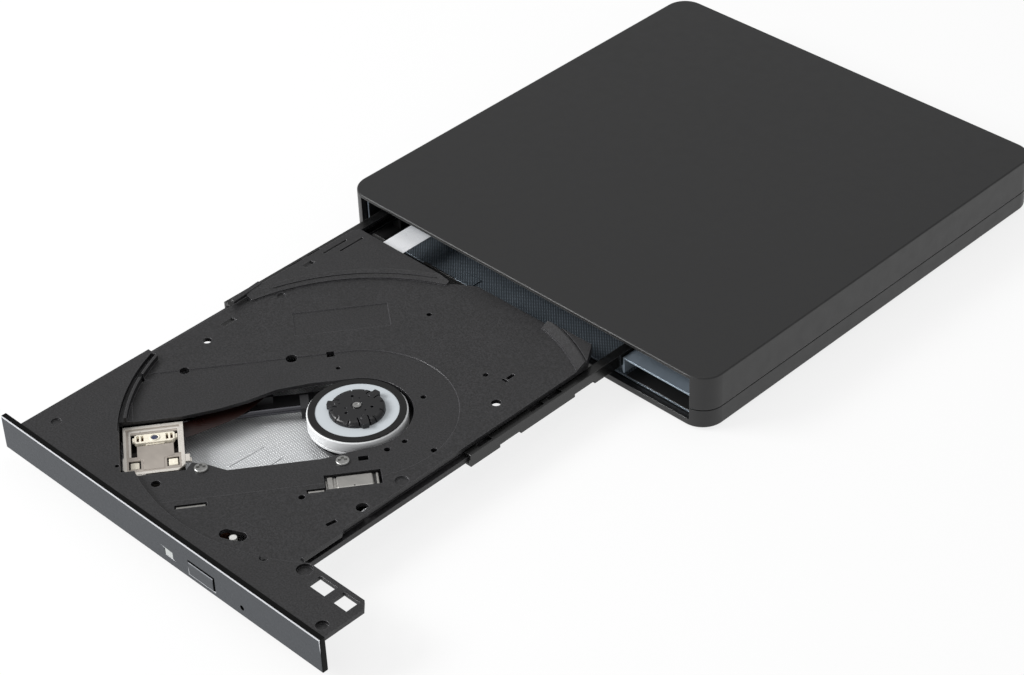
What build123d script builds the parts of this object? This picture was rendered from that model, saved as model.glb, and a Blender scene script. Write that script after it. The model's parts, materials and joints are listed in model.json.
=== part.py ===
"""Slim external DVD drive, tray fully open.

Millimetres. The origin is the centre of the case's flat underside, +X is to the right seen from
the front, +Y runs to the back of the case, and +Z is up. The tray comes out towards -Y.
"""

from build123d import *
from math import cos, radians, sin
import os

# The case round the drive
CASE_SIDE = 6.35
CASE_REAR = 18.5
CASE_HEIGHT = 17.2
CASE_CORNER = 7.0
CASE_WALL = 2.0
CASE_SKIN = 1.9
CASE_EDGE = 0.5
SEAM_HEIGHT = 5.9
SEAM_GROOVE = 0.3
SEAM_TONGUE = 1.1
MOUTH_GAP = 0.5
MOUTH_LIP = 0.3
MOUTH_BROW = 1.0

# Feet, bosses and screws of the case
FOOT_RADIUS = 5.0
FOOT_STAND = 0.8
FOOT_RECESS = 0.5
FOOT_INSET = 14.0
BOSS_RADIUS = 2.1
BOSS_BITE = 0.5
SCREW_RADIUS = 0.8
SCREW_HEAD_RADIUS = 1.7
SCREW_HEAD_HEIGHT = 0.8
PAN_SUPPORT = 0.6
FOAM_WIDTH = 8.0

# Clearances
SLIDE_GAP = 0.35
FIT_GAP = 0.02
RUN_GAP = 0.04
SEAT_GAP = 0.3

# The drive's steel pan and top plate
PAN_WIDTH = 128.8
PAN_DEPTH = 130.5
PAN_SETBACK = 2.0
PAN_SHEET = 0.5
TOP_SHEET = 0.4
WING_HEIGHT = 5.9
WING_FLANGE = 5.2
HUB_HEADROOM = 0.5
TONGUE_X = -28.0
TONGUE_WIDTH = 6.5
TONGUE_LENGTH = 4.5
VENT_START = 38.0
VENT_PITCH = 30.0
VENT_LENGTH = 34.0
VENT_WIDTH = 6.0

# The bezel and the tray's own levels
TRAY_OVERRUN = 2.5
BEZEL_INSET = 0.4
BEZEL_HEIGHT = 10.8
BEZEL_THICK = 1.9
BEZEL_PROUD = 0.4
BEZEL_GAP = 0.5
BEZEL_EDGE = 0.35
DECK_DROP = 0.4
RECESS_DEPTH = 1.6
TRAY_SKIN = 1.3
TRAY_WALL = 1.2

# The tray's outline: sideways from the centre plane, and back from the bezel's face
TRAY_LEFT_MARGIN = 6.7
TRAY_REACH = 31.7
TRAY_STEP = 1.2
TRAY_REAR_SHORT = 0.5
TRAY_REAR_STEP = 5.0
TAB_MARGIN = 0.9
TAB_REAR = 17.5
TAB_CORNER = 2.3
NOTCH_FROM = -19.0
NOTCH_TO = -12.0
REAR_FLAT_TO = 15.5
SIDE_WALL_INSET = 0.8
POCKET_WIDTH = 14.0
POCKET_AHEAD = 21.4
POCKET_BEHIND = 14.0

# The disc recess round the spindle
SPINDLE_X = 4.5
SPINDLE_BACK = 67.4
DISC_RADIUS = 60.0
DISC_MARGIN = 1.0
RIM_WIDTH = 0.75
RIM_GROOVE = 1.45
RIM_START = 200
RIM_END = 231
RIM_GAP_ANGLE = 209
LEDGE_RISE = 0.45
LEDGE_WIDTH = 0.3
SLOPE_WIDTH = 2.4
ARC_GROOVE = 0.45
DIP_RADIUS = 27.5
DIP_DEPTH = 0.2

# The spindle and what turns on it
ROTOR_RADIUS = 13.8
ROTOR_HEIGHT = 4.0
ROTOR_WALL = 0.6
RING_RISE = 0.9
RING_OUTER = 13.4
RING_INNER = 11.45
RING_THICK = 0.35
HUB_RADIUS = 7.7
HUB_RISE = 1.6
HUB_SLOTS = 12
CLAW_COUNT = 3
CAP_RADIUS = 1.15
SHAFT_RADIUS = 0.8
ROTOR_GAP = 1.4
STATOR_RADIUS = 11.5

# The sled line: its direction from the spindle, and lengths along it and across it
SLED_ANGLE = 232.8
LENS_AT = 54.5
LENS_ACROSS = -0.8
PICKUP_INNER = 46.8
PICKUP_OUTER = 63.3
PICKUP_LEFT = -6.8
PICKUP_RIGHT = 13.4
PICKUP_SHEET = 0.55
ROD_RADIUS = 1.0
ROD_LEFT = -10.0
ROD_RIGHT = 16.3
ROD_INNER = 12.4
ROD_OUTER = 65.6
ROD_BLOCK = 2.4
ROD_FOOT = 4.0
FRAME_SHEET = 1.0
FRAME_INNER = -21.0
FRAME_END = 3.4
FRAME_SIDE = 8.0
FRAME_BEYOND = 5.8
FRAME_OPENING = 6.0
FLEX_SEAT_ALONG = (22.0, 26.5)
FLEX_SEAT_ACROSS = (-17.6, -14.6)
SCREW_LINE = 27.2
LEAD_RADIUS = 1.1
MOTOR_WIDTH = 5.4
MOTOR_INNER = -3.3
MOTOR_OUTER = 11.0
BRACKET_SHEET = 0.6
BRACKET_OUTER = 54.0
BRACKET_TABS = [(11.6, 15.8), (42.4, 50.0)]
LENS_RADIUS = 1.25
FLEX_THICK = 0.2

# The rails between the tray and the pan
RAIL_WIDTH = 2.8
RAIL_HEIGHT = 3.9
RAIL_WALL = 0.8
RAIL_AHEAD = 57.0
RAIL_BEHIND = 56.0
RAIL_LEFT_RISE = 0.9
SHOE_WIDTH = 0.8
SHOE_HEIGHT = 0.5
GUIDE_START = 9.0
GUIDE_SHORT = 3.5

# The shield under the tray
SHIELD_RISE = 0.9
SHIELD_SHEET = 0.3
SHIELD_NOTCH = 62.0
SHIELD_STEP = 17.7
SHIELD_HOLE = 2.2

# The ribbon cable
RIBBON_INSET = 11.9
RIBBON_WIDTH = 8.4
RIBBON_THICK = 0.2
RIBBON_BACK = 62.0
RIBBON_BOARD_LENGTH = 30.0

# The button, the light and the pin hole in the bezel
BUTTON_LEFT = 13.9
BUTTON_WIDTH = 9.9
BUTTON_HEIGHT = 4.4
BUTTON_BASE = 1.7
BUTTON_GAP = 0.2
BUTTON_PROUD = 0.25
BUTTON_TRAVEL = 0.6
LIGHT_X = 5.9
LIGHT_WIDTH = 3.2
LIGHT_HEIGHT = 2.3
LIGHT_BASE = 2.6
PIN_X = 34.4
PIN_RADIUS = 0.75

# Circuit boards and connectors
BOARD_THICK = 1.0
DRIVE_BOARD_START = 18.0
DRIVE_BOARD_POST = 6.0
TRAY_BOARD_LEFT = 2.5
TRAY_BOARD_RIGHT = 30.0
TRAY_BOARD_BACK = 9.2
BRIDGE_WIDTH = 64.0
BRIDGE_X = 29.0
USB_WIDTH = 8.9
USB_HEIGHT = 3.2
USB_WALL = 0.35
USB_DEPTH = 7.3
USB_X = 20.0
PLUG_WIDTH = 19.0
PLUG_HEIGHT = 3.6
PLUG_DEPTH = 5.0
PLUG_X = 51.5
BOARD_STAND = 0.3

# The latch
LATCH_X = 25.0
LATCH_BACK = 13.0
LATCH_THICK = 1.0
LATCH_REACH = 37.05
LATCH_SWING = 0.08
KEEPER_SIZE = 1.6
KEEPER_BACK = 1.2
LATCH_PIN_X = 17.4
LATCH_PIN_BACK = 12.3
LATCH_PIVOT_RADIUS = 1.2

# Levels and places that follow from the sizes above
CASE_WIDTH = PAN_WIDTH + 2 * CASE_SIDE
CASE_DEPTH = PAN_SETBACK + PAN_DEPTH + CASE_REAR
MOUTH_WIDTH = PAN_WIDTH + 2 * MOUTH_GAP
BEZEL_WIDTH = PAN_WIDTH - 2 * BEZEL_INSET
TRAY_TRAVEL = PAN_DEPTH + TRAY_OVERRUN
TRAY_LEFT = -PAN_WIDTH / 2 + TRAY_LEFT_MARGIN
TRAY_RIGHT = SPINDLE_X + TRAY_REACH
TRAY_RIGHT_FRONT = TRAY_RIGHT + TRAY_STEP
TRAY_REAR = PAN_DEPTH - TRAY_REAR_SHORT
TRAY_REAR_LEFT = TRAY_REAR - TRAY_REAR_STEP
TAB_RIGHT = PAN_WIDTH / 2 - TAB_MARGIN
SHIELD_LEFT = TRAY_LEFT + SHIELD_STEP
RIBBON_CENTRE = TRAY_LEFT + RIBBON_INSET
GUIDE_END = PAN_DEPTH - GUIDE_SHORT
FRONT_Y = -CASE_DEPTH / 2
BACK_Y = CASE_DEPTH / 2
BOSS_SPLIT = SEAM_HEIGHT + SEAM_TONGUE + SEAM_GROOVE
MOUTH_BOTTOM = CASE_SKIN + MOUTH_LIP
CASE_CEILING = CASE_HEIGHT - CASE_SKIN
PAN_BOTTOM = CASE_SKIN + PAN_SUPPORT
PAN_TOP = PAN_BOTTOM + PAN_SHEET
PAN_FRONT = FRONT_Y + PAN_SETBACK
PAN_REAR = PAN_FRONT + PAN_DEPTH
BEZEL_BOTTOM = MOUTH_BOTTOM + BEZEL_GAP
BEZEL_TOP = BEZEL_BOTTOM + BEZEL_HEIGHT
BEZEL_FRONT = FRONT_Y - TRAY_TRAVEL - BEZEL_PROUD
DECK_TOP = BEZEL_TOP - DECK_DROP
FLOOR_TOP = DECK_TOP - RECESS_DEPTH
FLOOR_UNDER = FLOOR_TOP - TRAY_SKIN
RING_TOP = FLOOR_TOP + RING_RISE
HUB_TOP = RING_TOP + HUB_RISE
TOP_UNDER = HUB_TOP + HUB_HEADROOM
TOP_UPPER = TOP_UNDER + TOP_SHEET
SPINDLE_Y = BEZEL_FRONT + SPINDLE_BACK
RECESS_RADIUS = DISC_RADIUS + DISC_MARGIN
RIM_INNER = RECESS_RADIUS + 1.0
RIM_OUTER = RIM_INNER + RIM_WIDTH
SHIELD_BOTTOM = PAN_TOP + SHIELD_RISE
SHIELD_TOP = SHIELD_BOTTOM + SHIELD_SHEET
SIDE_WALL_RIGHT = TRAY_RIGHT - SIDE_WALL_INSET
RAIL_RIGHT_X = SIDE_WALL_RIGHT + SLIDE_GAP
RAIL_RIGHT_TOP = FLOOR_UNDER - SEAT_GAP
RAIL_LEFT_X = TRAY_LEFT - SLIDE_GAP - 0.55
RAIL_LEFT_TOP = RAIL_RIGHT_TOP + RAIL_LEFT_RISE
WING_X = RAIL_RIGHT_X + RAIL_WIDTH + SLIDE_GAP
WING_TOP = PAN_TOP + WING_HEIGHT
ROTOR_TOP = RING_TOP - RING_THICK
ROTOR_BOTTOM = ROTOR_TOP - ROTOR_HEIGHT
FRAME_BOTTOM = SHIELD_TOP + 0.8
FRAME_TOP = FRAME_BOTTOM + FRAME_SHEET
ROD_Z = FRAME_TOP + ROD_RADIUS + 0.2
ROD_SEAT = ROD_Z + ROD_RADIUS + 0.4
LATCH_BOTTOM = SHIELD_TOP + 0.2
BRACKET_LINE = SCREW_LINE + MOTOR_WIDTH / 2
COVER_TOP = FLOOR_UNDER - 0.25
COVER_UNDER = COVER_TOP - PICKUP_SHEET

SPINDLE = Pos(SPINDLE_X, SPINDLE_Y, 0)
SLED = SPINDLE * Rot(0, 0, SLED_ANGLE)


def block(x0, x1, y0, y1, z0, z1):
    """A box between two corners."""
    centre = Pos((x0 + x1) / 2, (y0 + y1) / 2, (z0 + z1) / 2)
    return centre * Box(abs(x1 - x0), abs(y1 - y0), abs(z1 - z0))


def tray_block(x0, x1, back0, back1, z0, z1):
    """A box whose depth is measured back from the bezel's face."""
    return block(x0, x1, BEZEL_FRONT + back0, BEZEL_FRONT + back1, z0, z1)


def post(radius, z0, z1, x=0.0, y=0.0):
    """An upright cylinder."""
    return Pos(x, y, (z0 + z1) / 2) * Cylinder(radius, z1 - z0)


def ring(outer, inner, z0, z1, x=0.0, y=0.0):
    """An upright tube."""
    return post(outer, z0, z1, x, y) - post(inner, z0 - 1, z1 + 1, x, y)


def prism(sketch, z0, z1):
    """A flat outline raised from one level to another."""
    return extrude(Pos(0, 0, z0) * sketch, z1 - z0, dir=(0, 0, 1))


def outline(*points):
    """A closed outline through points in the XY plane."""
    return make_face(Polyline(*points, close=True))


def lying_rod(radius, start, end, across, z):
    """A rod along the sled line."""
    rod = Rot(0, 90, 0) * Cylinder(radius, end - start)
    return SLED * Pos((start + end) / 2, across, z) * rod


def case_outline(inset=0.0):
    """The case seen from above, drawn in by an inset."""
    width = CASE_WIDTH - 2 * inset
    depth = CASE_DEPTH - 2 * inset
    return RectangleRounded(width, depth, CASE_CORNER - inset)


def foot_places():
    """The four feet, inset from the case's corners."""
    x = CASE_WIDTH / 2 - FOOT_INSET
    y = CASE_DEPTH / 2 - FOOT_INSET
    return [(-x, -y), (x, -y), (-x, y), (x, y)]


def boss_places():
    """The four screw bosses: two beside the drive and two behind it."""
    side_x = CASE_WIDTH / 2 - CASE_WALL - BOSS_RADIUS + BOSS_BITE
    side_y = FRONT_Y + CASE_CORNER + 2 * BOSS_RADIUS
    rear_y = BACK_Y - CASE_WALL - 3 * BOSS_RADIUS
    return [(-side_x, side_y), (side_x, side_y), (-side_x, rear_y), (side_x, rear_y)]


def mouth(z0, z1, depth):
    """The opening that the tray comes through."""
    half = MOUTH_WIDTH / 2
    return block(-half, half, FRONT_Y - 1, FRONT_Y + depth, z0, z1)


def top_cover():
    """The upper shell: a thin lid with rounded edges, walls down to the seam, and four bosses."""
    shell = prism(case_outline(), SEAM_HEIGHT + SEAM_GROOVE, CASE_HEIGHT)
    rim = shell.edges().group_by(Axis.Z)[-1]
    shell = fillet(rim, CASE_EDGE)
    shell -= prism(case_outline(CASE_WALL), SEAM_HEIGHT, CASE_CEILING)
    tongue_room = case_outline(CASE_WALL / 2 - FIT_GAP)
    shell -= prism(tongue_room, SEAM_HEIGHT, BOSS_SPLIT)
    for x, y in boss_places():
        shell += ring(BOSS_RADIUS, SCREW_RADIUS, BOSS_SPLIT, CASE_CEILING + 0.5, x, y)
    shell -= mouth(0, CASE_CEILING, CASE_WALL + 1)
    shell -= mouth(0, CASE_HEIGHT - MOUTH_BROW, CASE_WALL)
    return shell - usb_cutout()


def usb_cutout():
    """The hole for the socket in the rear wall."""
    width = USB_WIDTH / 2 + 0.4
    z0 = board_top() - 0.3
    z1 = board_top() + USB_HEIGHT + 0.3
    hole = block(USB_X - width, USB_X + width, BACK_Y - CASE_WALL - 1, BACK_Y + 1, z0, z1)
    return fillet(hole.edges().filter_by(Axis.Y), 1.2)


def board_top():
    """The upper face of the circuit boards, where the sockets stand."""
    return PAN_TOP + BOARD_STAND + BOARD_THICK


def bottom_cover():
    """The lower shell: a floor, low walls with a tongue, bosses, ribs and foot recesses."""
    shell = prism(case_outline(), 0, SEAM_HEIGHT)
    rim = shell.edges().group_by(Axis.Z)[0]
    shell = fillet(rim, CASE_EDGE)
    shell -= prism(case_outline(CASE_WALL), CASE_SKIN, SEAM_HEIGHT + 1)
    tongue = case_outline(CASE_WALL / 2 + FIT_GAP) - case_outline(CASE_WALL)
    shell += prism(tongue, SEAM_HEIGHT - 1, SEAM_HEIGHT + SEAM_TONGUE)
    shell -= mouth(MOUTH_BOTTOM, SEAM_HEIGHT + SEAM_TONGUE + 1, CASE_WALL + 1)
    for x, y in boss_places():
        shell += post(BOSS_RADIUS, CASE_SKIN - 0.5, BOSS_SPLIT, x, y)
    shell += pan_supports()
    shell += bridge_posts()
    for x, y in boss_places():
        shell -= post(SCREW_RADIUS + FIT_GAP, -1, BOSS_SPLIT + 1, x, y)
        shell -= post(SCREW_HEAD_RADIUS + 0.1, -1, SCREW_HEAD_HEIGHT + 0.1, x, y)
    for x, y in foot_places():
        shell -= post(FOOT_RADIUS + FIT_GAP, -1, FOOT_RECESS, x, y)
    return shell - usb_cutout()


def pan_supports():
    """Cross ribs on the floor that the drive stands on."""
    ribs = Part()
    for share in (0.12, 0.5, 0.88):
        y = PAN_FRONT + share * PAN_DEPTH
        ribs += block(-PAN_WIDTH / 2 + 6, PAN_WIDTH / 2 - 6, y - 1, y + 1, CASE_SKIN - 0.5, PAN_BOTTOM)
    return ribs


def bridge_places():
    """The bridge board's mounting posts."""
    x = BRIDGE_WIDTH / 2 - 3
    y = BACK_Y - CASE_WALL - 8
    return [(BRIDGE_X - x, y), (BRIDGE_X + x, y)]


def bridge_posts():
    """Posts that carry the bridge board."""
    posts = Part()
    for x, y in bridge_places():
        posts += post(BOSS_RADIUS, CASE_SKIN - 0.5, board_top() - BOARD_THICK, x, y)
    return posts


def rubber_feet():
    """Four round feet with a soft lower edge, seated in their recesses."""
    feet = []
    for x, y in foot_places():
        foot = post(FOOT_RADIUS, -FOOT_STAND, FOOT_RECESS, x, y)
        feet.append(fillet(foot.edges().group_by(Axis.Z)[0], FOOT_STAND / 3))
    return Compound(feet)


def case_screws():
    """Four screws from below, with a cross recess in each head."""
    screws = []
    for x, y in boss_places():
        screw = post(SCREW_HEAD_RADIUS, 0, SCREW_HEAD_HEIGHT, x, y)
        screw += post(SCREW_RADIUS - FIT_GAP, SCREW_HEAD_HEIGHT, CASE_CEILING - 1.5, x, y)
        screw -= cross_recess(SCREW_HEAD_RADIUS, x, y, 0)
        screws.append(screw)
    return Compound(screws)


def cross_recess(head_radius, x, y, z):
    """The driver recess of a small screw, centred on a height."""
    arm = head_radius * 0.65
    width = head_radius * 0.22
    cross = block(x - arm, x + arm, y - width, y + width, z - 0.4, z + 0.4)
    return cross + block(x - width, x + width, y - arm, y + arm, z - 0.4, z + 0.4)


def bridge_board():
    """The board behind the drive, standing on two posts."""
    z = board_top() - BOARD_THICK
    half = BRIDGE_WIDTH / 2
    rear = BACK_Y - CASE_WALL - 0.6
    front = PAN_REAR + PLUG_DEPTH / 2 + 0.6
    board = block(BRIDGE_X - half, BRIDGE_X + half, front, rear, z, z + BOARD_THICK)
    board -= block(BRIDGE_X - half - 1, BRIDGE_X - half + 8, front - 1, front + 4, z - 1, z + 3)
    return fillet(board.edges().filter_by(Axis.Z), 0.8)


def bridge_chips():
    """The controller chip, a crystal and two small parts on the bridge board."""
    z = board_top()
    y = BACK_Y - CASE_WALL - 6
    chips = [block(34, 41, y - 3.5, y + 3.5, z, z + 1.0)]
    chips.append(block(29, 32.2, y - 2.5, y, z, z + 0.8))
    chips.append(block(6, 8.5, y - 1, y + 1.5, z, z + 1.2))
    chips.append(block(11, 14, y - 2, y + 2, z, z + 1.4))
    return Compound(chips)


def usb_socket():
    """A metal receptacle with an oval mouth and a tongue inside."""
    shape = SlotOverall(USB_WIDTH, USB_HEIGHT)
    inner = SlotOverall(USB_WIDTH - 2 * USB_WALL, USB_HEIGHT - 2 * USB_WALL)
    tongue = Rectangle(USB_WIDTH - 2.6, 0.7)
    face_y = BACK_Y - 0.4
    place = Pos(USB_X, face_y, board_top() + USB_HEIGHT / 2) * Rot(90, 0, 0)
    shell = place * extrude(shape, USB_DEPTH)
    shell -= place * Pos(0, 0, -1) * extrude(inner, USB_DEPTH)
    shell += place * Pos(0, 0, 1.2) * extrude(tongue, USB_DEPTH - 2.0)
    return shell


def connector(x, y0, y1, z):
    """A long low connector with a slot along its mouth."""
    half = PLUG_WIDTH / 2
    body = block(x - half, x + half, y0, y1, z, z + PLUG_HEIGHT)
    return fillet(body.edges().filter_by(Axis.Y), 0.4)


def bridge_plug():
    """The plug on the bridge board, its tongue inside the drive's rear socket."""
    z = board_top()
    y0 = PAN_REAR + PLUG_DEPTH / 2 + 0.6
    body = connector(PLUG_X, PAN_REAR + 0.3, y0 + PLUG_DEPTH / 2, z)
    tongue_half = PLUG_WIDTH / 2 - 2.5
    mid = z + PLUG_HEIGHT / 2
    return body + block(PLUG_X - tongue_half, PLUG_X + tongue_half, PAN_REAR - 3, PAN_REAR + 1,
                        mid - 0.5, mid + 0.5)


def drive_socket():
    """The drive's rear socket, in the pan's rear wall."""
    z = board_top()
    body = connector(PLUG_X, PAN_REAR - PLUG_DEPTH, PAN_REAR, z)
    tongue_half = PLUG_WIDTH / 2 - 2.3
    mid = z + PLUG_HEIGHT / 2
    return body - block(PLUG_X - tongue_half, PLUG_X + tongue_half, PAN_REAR - 3.4, PAN_REAR + 1,
                        mid - 0.7, mid + 0.7)


def drive_pan():
    """The steel pan: floor, side and rear walls, and the raised wing under the disc's right side."""
    half = PAN_WIDTH / 2
    pan = block(-half, half, PAN_FRONT, PAN_REAR, PAN_BOTTOM, PAN_TOP)
    pan += block(-half, -half + PAN_SHEET, PAN_FRONT, PAN_REAR, PAN_BOTTOM, TOP_UNDER)
    pan += block(half - PAN_SHEET, half, PAN_FRONT, PAN_REAR, PAN_BOTTOM, TOP_UNDER)
    pan += block(-half, half, PAN_REAR - PAN_SHEET, PAN_REAR, PAN_BOTTOM, TOP_UNDER)
    pan += block(WING_X, half, PAN_FRONT, PAN_REAR, WING_TOP - PAN_SHEET, WING_TOP)
    pan += block(WING_X, WING_X + PAN_SHEET, PAN_FRONT, PAN_REAR, WING_TOP - WING_FLANGE, WING_TOP)
    pan += block(TONGUE_X, TONGUE_X + TONGUE_WIDTH, PAN_FRONT, PAN_FRONT + TONGUE_LENGTH,
                 PAN_TOP - 0.1, PAN_TOP + 0.3)
    gap = PLUG_WIDTH / 2 + 0.3
    z = board_top()
    pan -= block(PLUG_X - gap, PLUG_X + gap, PAN_REAR - 2, PAN_REAR + 1, z - 0.3, z + PLUG_HEIGHT + 0.3)
    pan -= floor_vents()
    return pan


def floor_vents():
    """Oblong openings that lighten the pan's floor."""
    vents = Part()
    for step in range(3):
        y = PAN_FRONT + VENT_START + VENT_PITCH * step
        slot = Pos(-4, y, 0) * SlotOverall(VENT_LENGTH, VENT_WIDTH)
        vents += prism(slot, PAN_BOTTOM - 1, PAN_TOP + 1)
    return vents


def drive_lid():
    """The drive's thin top plate, resting on the pan's walls, with a pressed border."""
    half = PAN_WIDTH / 2
    lid = block(-half, half, PAN_FRONT, PAN_REAR, TOP_UNDER, TOP_UPPER)
    lid -= block(-half + 9, half - 9, PAN_FRONT + 9, PAN_REAR - 9, TOP_UPPER - 0.15, TOP_UPPER + 1)
    for x in (-half + 4, half - 4):
        for y in (PAN_FRONT + 5, PAN_REAR - 5):
            lid -= post(1.2, TOP_UNDER - 1, TOP_UPPER + 1, x, y)
    return lid


def foam_strips():
    """Two strips between the drive's top plate and the case."""
    strips = []
    for side in (-1, 1):
        x = side * (PAN_WIDTH / 2 - 14)
        y0 = PAN_FRONT + 12
        y1 = PAN_REAR - 12
        strips.append(block(x - FOAM_WIDTH / 2, x + FOAM_WIDTH / 2, y0, y1, TOP_UPPER - 0.15, CASE_CEILING))
    return Compound(strips)


def rail_floor(top):
    """The underside of a rail whose top is at a level."""
    return top - RAIL_HEIGHT


def rail(inner_x, top, side):
    """A channel that opens towards the tray, with notches, an end stop and a shoe below."""
    outer_x = inner_x + side * RAIL_WIDTH
    bottom = rail_floor(top)
    y0 = FRONT_Y - RAIL_AHEAD
    y1 = FRONT_Y + RAIL_BEHIND
    body = block(inner_x, outer_x, y0, y1, bottom, top)
    web = outer_x - side * RAIL_WALL
    body -= block(inner_x - side, web, y0 - 1, y1 + 1, bottom + RAIL_WALL, top - RAIL_WALL)
    for back in (4, 24, 31):
        body -= block(inner_x - side, web, y0 + back, y0 + back + 5, top - RAIL_WALL - 0.1, top + 1)
    for back in (11, 40):
        body -= block(web, outer_x + side, y0 + back, y0 + back + 8, bottom - 1, bottom + 1.1)
    shoe = outer_x - side * RAIL_WIDTH / 2
    half = SHOE_WIDTH / 2
    body += block(shoe - half, shoe + half, FRONT_Y + GUIDE_START + 2, y1, bottom - SHOE_HEIGHT, bottom + 0.3)
    return body


def guide(inner_x, top, side):
    """A strip on the pan's floor with a groove that the rail's shoe runs in."""
    outer_x = inner_x + side * RAIL_WIDTH
    crown = rail_floor(top) - SLIDE_GAP
    y0 = FRONT_Y + GUIDE_START
    y1 = FRONT_Y + GUIDE_END
    body = block(inner_x - side * 0.5, outer_x, y0, y1, PAN_TOP, crown)
    shoe = outer_x - side * RAIL_WIDTH / 2
    half = SHOE_WIDTH / 2 + SLIDE_GAP
    groove = rail_floor(top) - SHOE_HEIGHT - SLIDE_GAP
    return body - block(shoe - half, shoe + half, y0 - 1, y1 + 1, groove, crown + 1)


def drive_board():
    """The drive's own circuit board, under the wing and across the rear of the pan."""
    half = PAN_WIDTH / 2
    z1 = board_top()
    z0 = z1 - BOARD_THICK
    board = block(WING_X + 2, half - 1.5, PAN_FRONT + DRIVE_BOARD_START, PAN_REAR - 1.5, z0, z1)
    for x in (WING_X + 5, half - 4):
        board += post(1.5, PAN_TOP, z0, x, PAN_FRONT + DRIVE_BOARD_START + DRIVE_BOARD_POST)
        board += post(1.5, PAN_TOP, z0, x, PAN_REAR - DRIVE_BOARD_POST)
    return board


def ribbon_board():
    """The strip of board at the pan's left side that the ribbon plugs into."""
    x0 = RIBBON_CENTRE - RIBBON_WIDTH / 2 - 1.5
    x1 = RIBBON_CENTRE + RIBBON_WIDTH / 2 + 1.5
    return block(x0, x1, ribbon_start() - 1, ribbon_start() + RIBBON_BOARD_LENGTH,
                 PAN_TOP, PAN_TOP + 0.5)


def ribbon_start():
    """Where the ribbon is fixed inside the case."""
    return FRONT_Y + RIBBON_BACK


def ribbon_socket():
    """The flat socket on that strip."""
    x0 = RIBBON_CENTRE - RIBBON_WIDTH / 2 - 1
    x1 = RIBBON_CENTRE + RIBBON_WIDTH / 2 + 1
    z = PAN_TOP + 0.5
    body = block(x0, x1, ribbon_start(), ribbon_start() + 4, z, z + 1.2)
    slot = RIBBON_WIDTH / 2 + 0.1
    return body - block(RIBBON_CENTRE - slot, RIBBON_CENTRE + slot, ribbon_start() - 1,
                        ribbon_start() + 3, z + 0.4, z + 0.4 + RIBBON_THICK + 0.1)


def ribbon_cable():
    """The flat cable from the pan up to the tray's rear, in one easy bend."""
    low = PAN_TOP + 0.95 + RIBBON_THICK / 2
    high = FLOOR_UNDER - 0.25
    start = ribbon_start() + 2.5
    end = BEZEL_FRONT + TRAY_REAR_LEFT - 6
    path = FilletPolyline(
        (start, low),
        (start - 12, low),
        (FRONT_Y + 18, high - 0.1),
        (FRONT_Y + 1, high - 0.1),
        (end + 5, high - 1.0),
        (end, high - 1.0),
        radius=3.0,
    )
    strip = trace(path, RIBBON_THICK)
    place = Pos(RIBBON_CENTRE - RIBBON_WIDTH / 2, 0, 0) * Plane.YZ.location
    return place * extrude(strip, RIBBON_WIDTH)


def latch_keeper():
    """The block in the pan that the latch hooks behind when the tray is shut."""
    y0 = PAN_FRONT + KEEPER_BACK
    top = LATCH_BOTTOM + LATCH_THICK + 0.2
    return block(WING_X - KEEPER_SIZE, WING_X, y0, y0 + KEEPER_SIZE, PAN_TOP, top)


def tray_outline():
    """The tray from above: deck, right front tab and stepped rear edge."""
    front = BEZEL_THICK
    points = [
        (TRAY_LEFT, front),
        (TAB_RIGHT, front),
        (TAB_RIGHT, TAB_REAR - TAB_CORNER),
        (TAB_RIGHT - TAB_CORNER, TAB_REAR),
        (TRAY_RIGHT_FRONT, TAB_REAR),
        (TRAY_RIGHT_FRONT, TAB_REAR + 14),
        (TRAY_RIGHT, TAB_REAR + 16),
        (TRAY_RIGHT, TRAY_REAR - 6),
        (TRAY_RIGHT - 4, TRAY_REAR),
        (NOTCH_TO, TRAY_REAR - 0.5),
        (NOTCH_FROM, TRAY_REAR_LEFT),
        (TRAY_LEFT + 1.5, TRAY_REAR_LEFT),
        (TRAY_LEFT, TRAY_REAR_LEFT - 2),
    ]
    return outline(*[(x, BEZEL_FRONT + back) for x, back in points])


def sector(outer, inner, start, end, z0, z1):
    """Part of a ring round the spindle between two angles under a half turn apart."""
    reach = 3 * outer
    a = radians(start)
    b = radians(end)
    wedge = outline((0, 0), (reach * cos(a), reach * sin(a)), (reach * cos(b), reach * sin(b)))
    face = (Circle(outer) - Circle(inner)) & wedge
    return SPINDLE * prism(face, z0, z1)


def front_recess():
    """The straight-sided front half of the disc recess."""
    bowl = post(RIM_INNER, FLOOR_TOP, DECK_TOP + 1)
    reach = 2 * RIM_INNER
    bowl &= block(-reach, reach, -reach, 0, FLOOR_TOP - 1, DECK_TOP + 2)
    return SPINDLE * bowl


def rear_recess():
    """The rear half of the disc recess, with its ledge and sloping rim."""
    ledge = FLOOR_TOP + LEDGE_RISE
    edge = RECESS_RADIUS + LEDGE_WIDTH
    profile = Polyline(
        (0, FLOOR_TOP),
        (RECESS_RADIUS, FLOOR_TOP),
        (RECESS_RADIUS, ledge),
        (edge, ledge),
        (edge + SLOPE_WIDTH, DECK_TOP + 0.01),
        (edge + SLOPE_WIDTH, DECK_TOP + 1),
        (0, DECK_TOP + 1),
        close=True,
    )
    face = Plane.XZ * make_face(profile)
    bowl = revolve(face, Axis.Z)
    reach = 2 * RIM_INNER
    bowl &= block(-reach, reach, 0, reach, FLOOR_TOP - 1, DECK_TOP + 2)
    return SPINDLE * bowl


def pocket_zone(margin, z0, z1):
    """The left stretch between the two raised corners, widened by a margin."""
    ahead = SPINDLE_Y - POCKET_AHEAD - margin
    behind = SPINDLE_Y + POCKET_BEHIND + margin
    return block(TRAY_LEFT - 1, TRAY_LEFT + POCKET_WIDTH + margin, ahead, behind, z0, z1)


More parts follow.
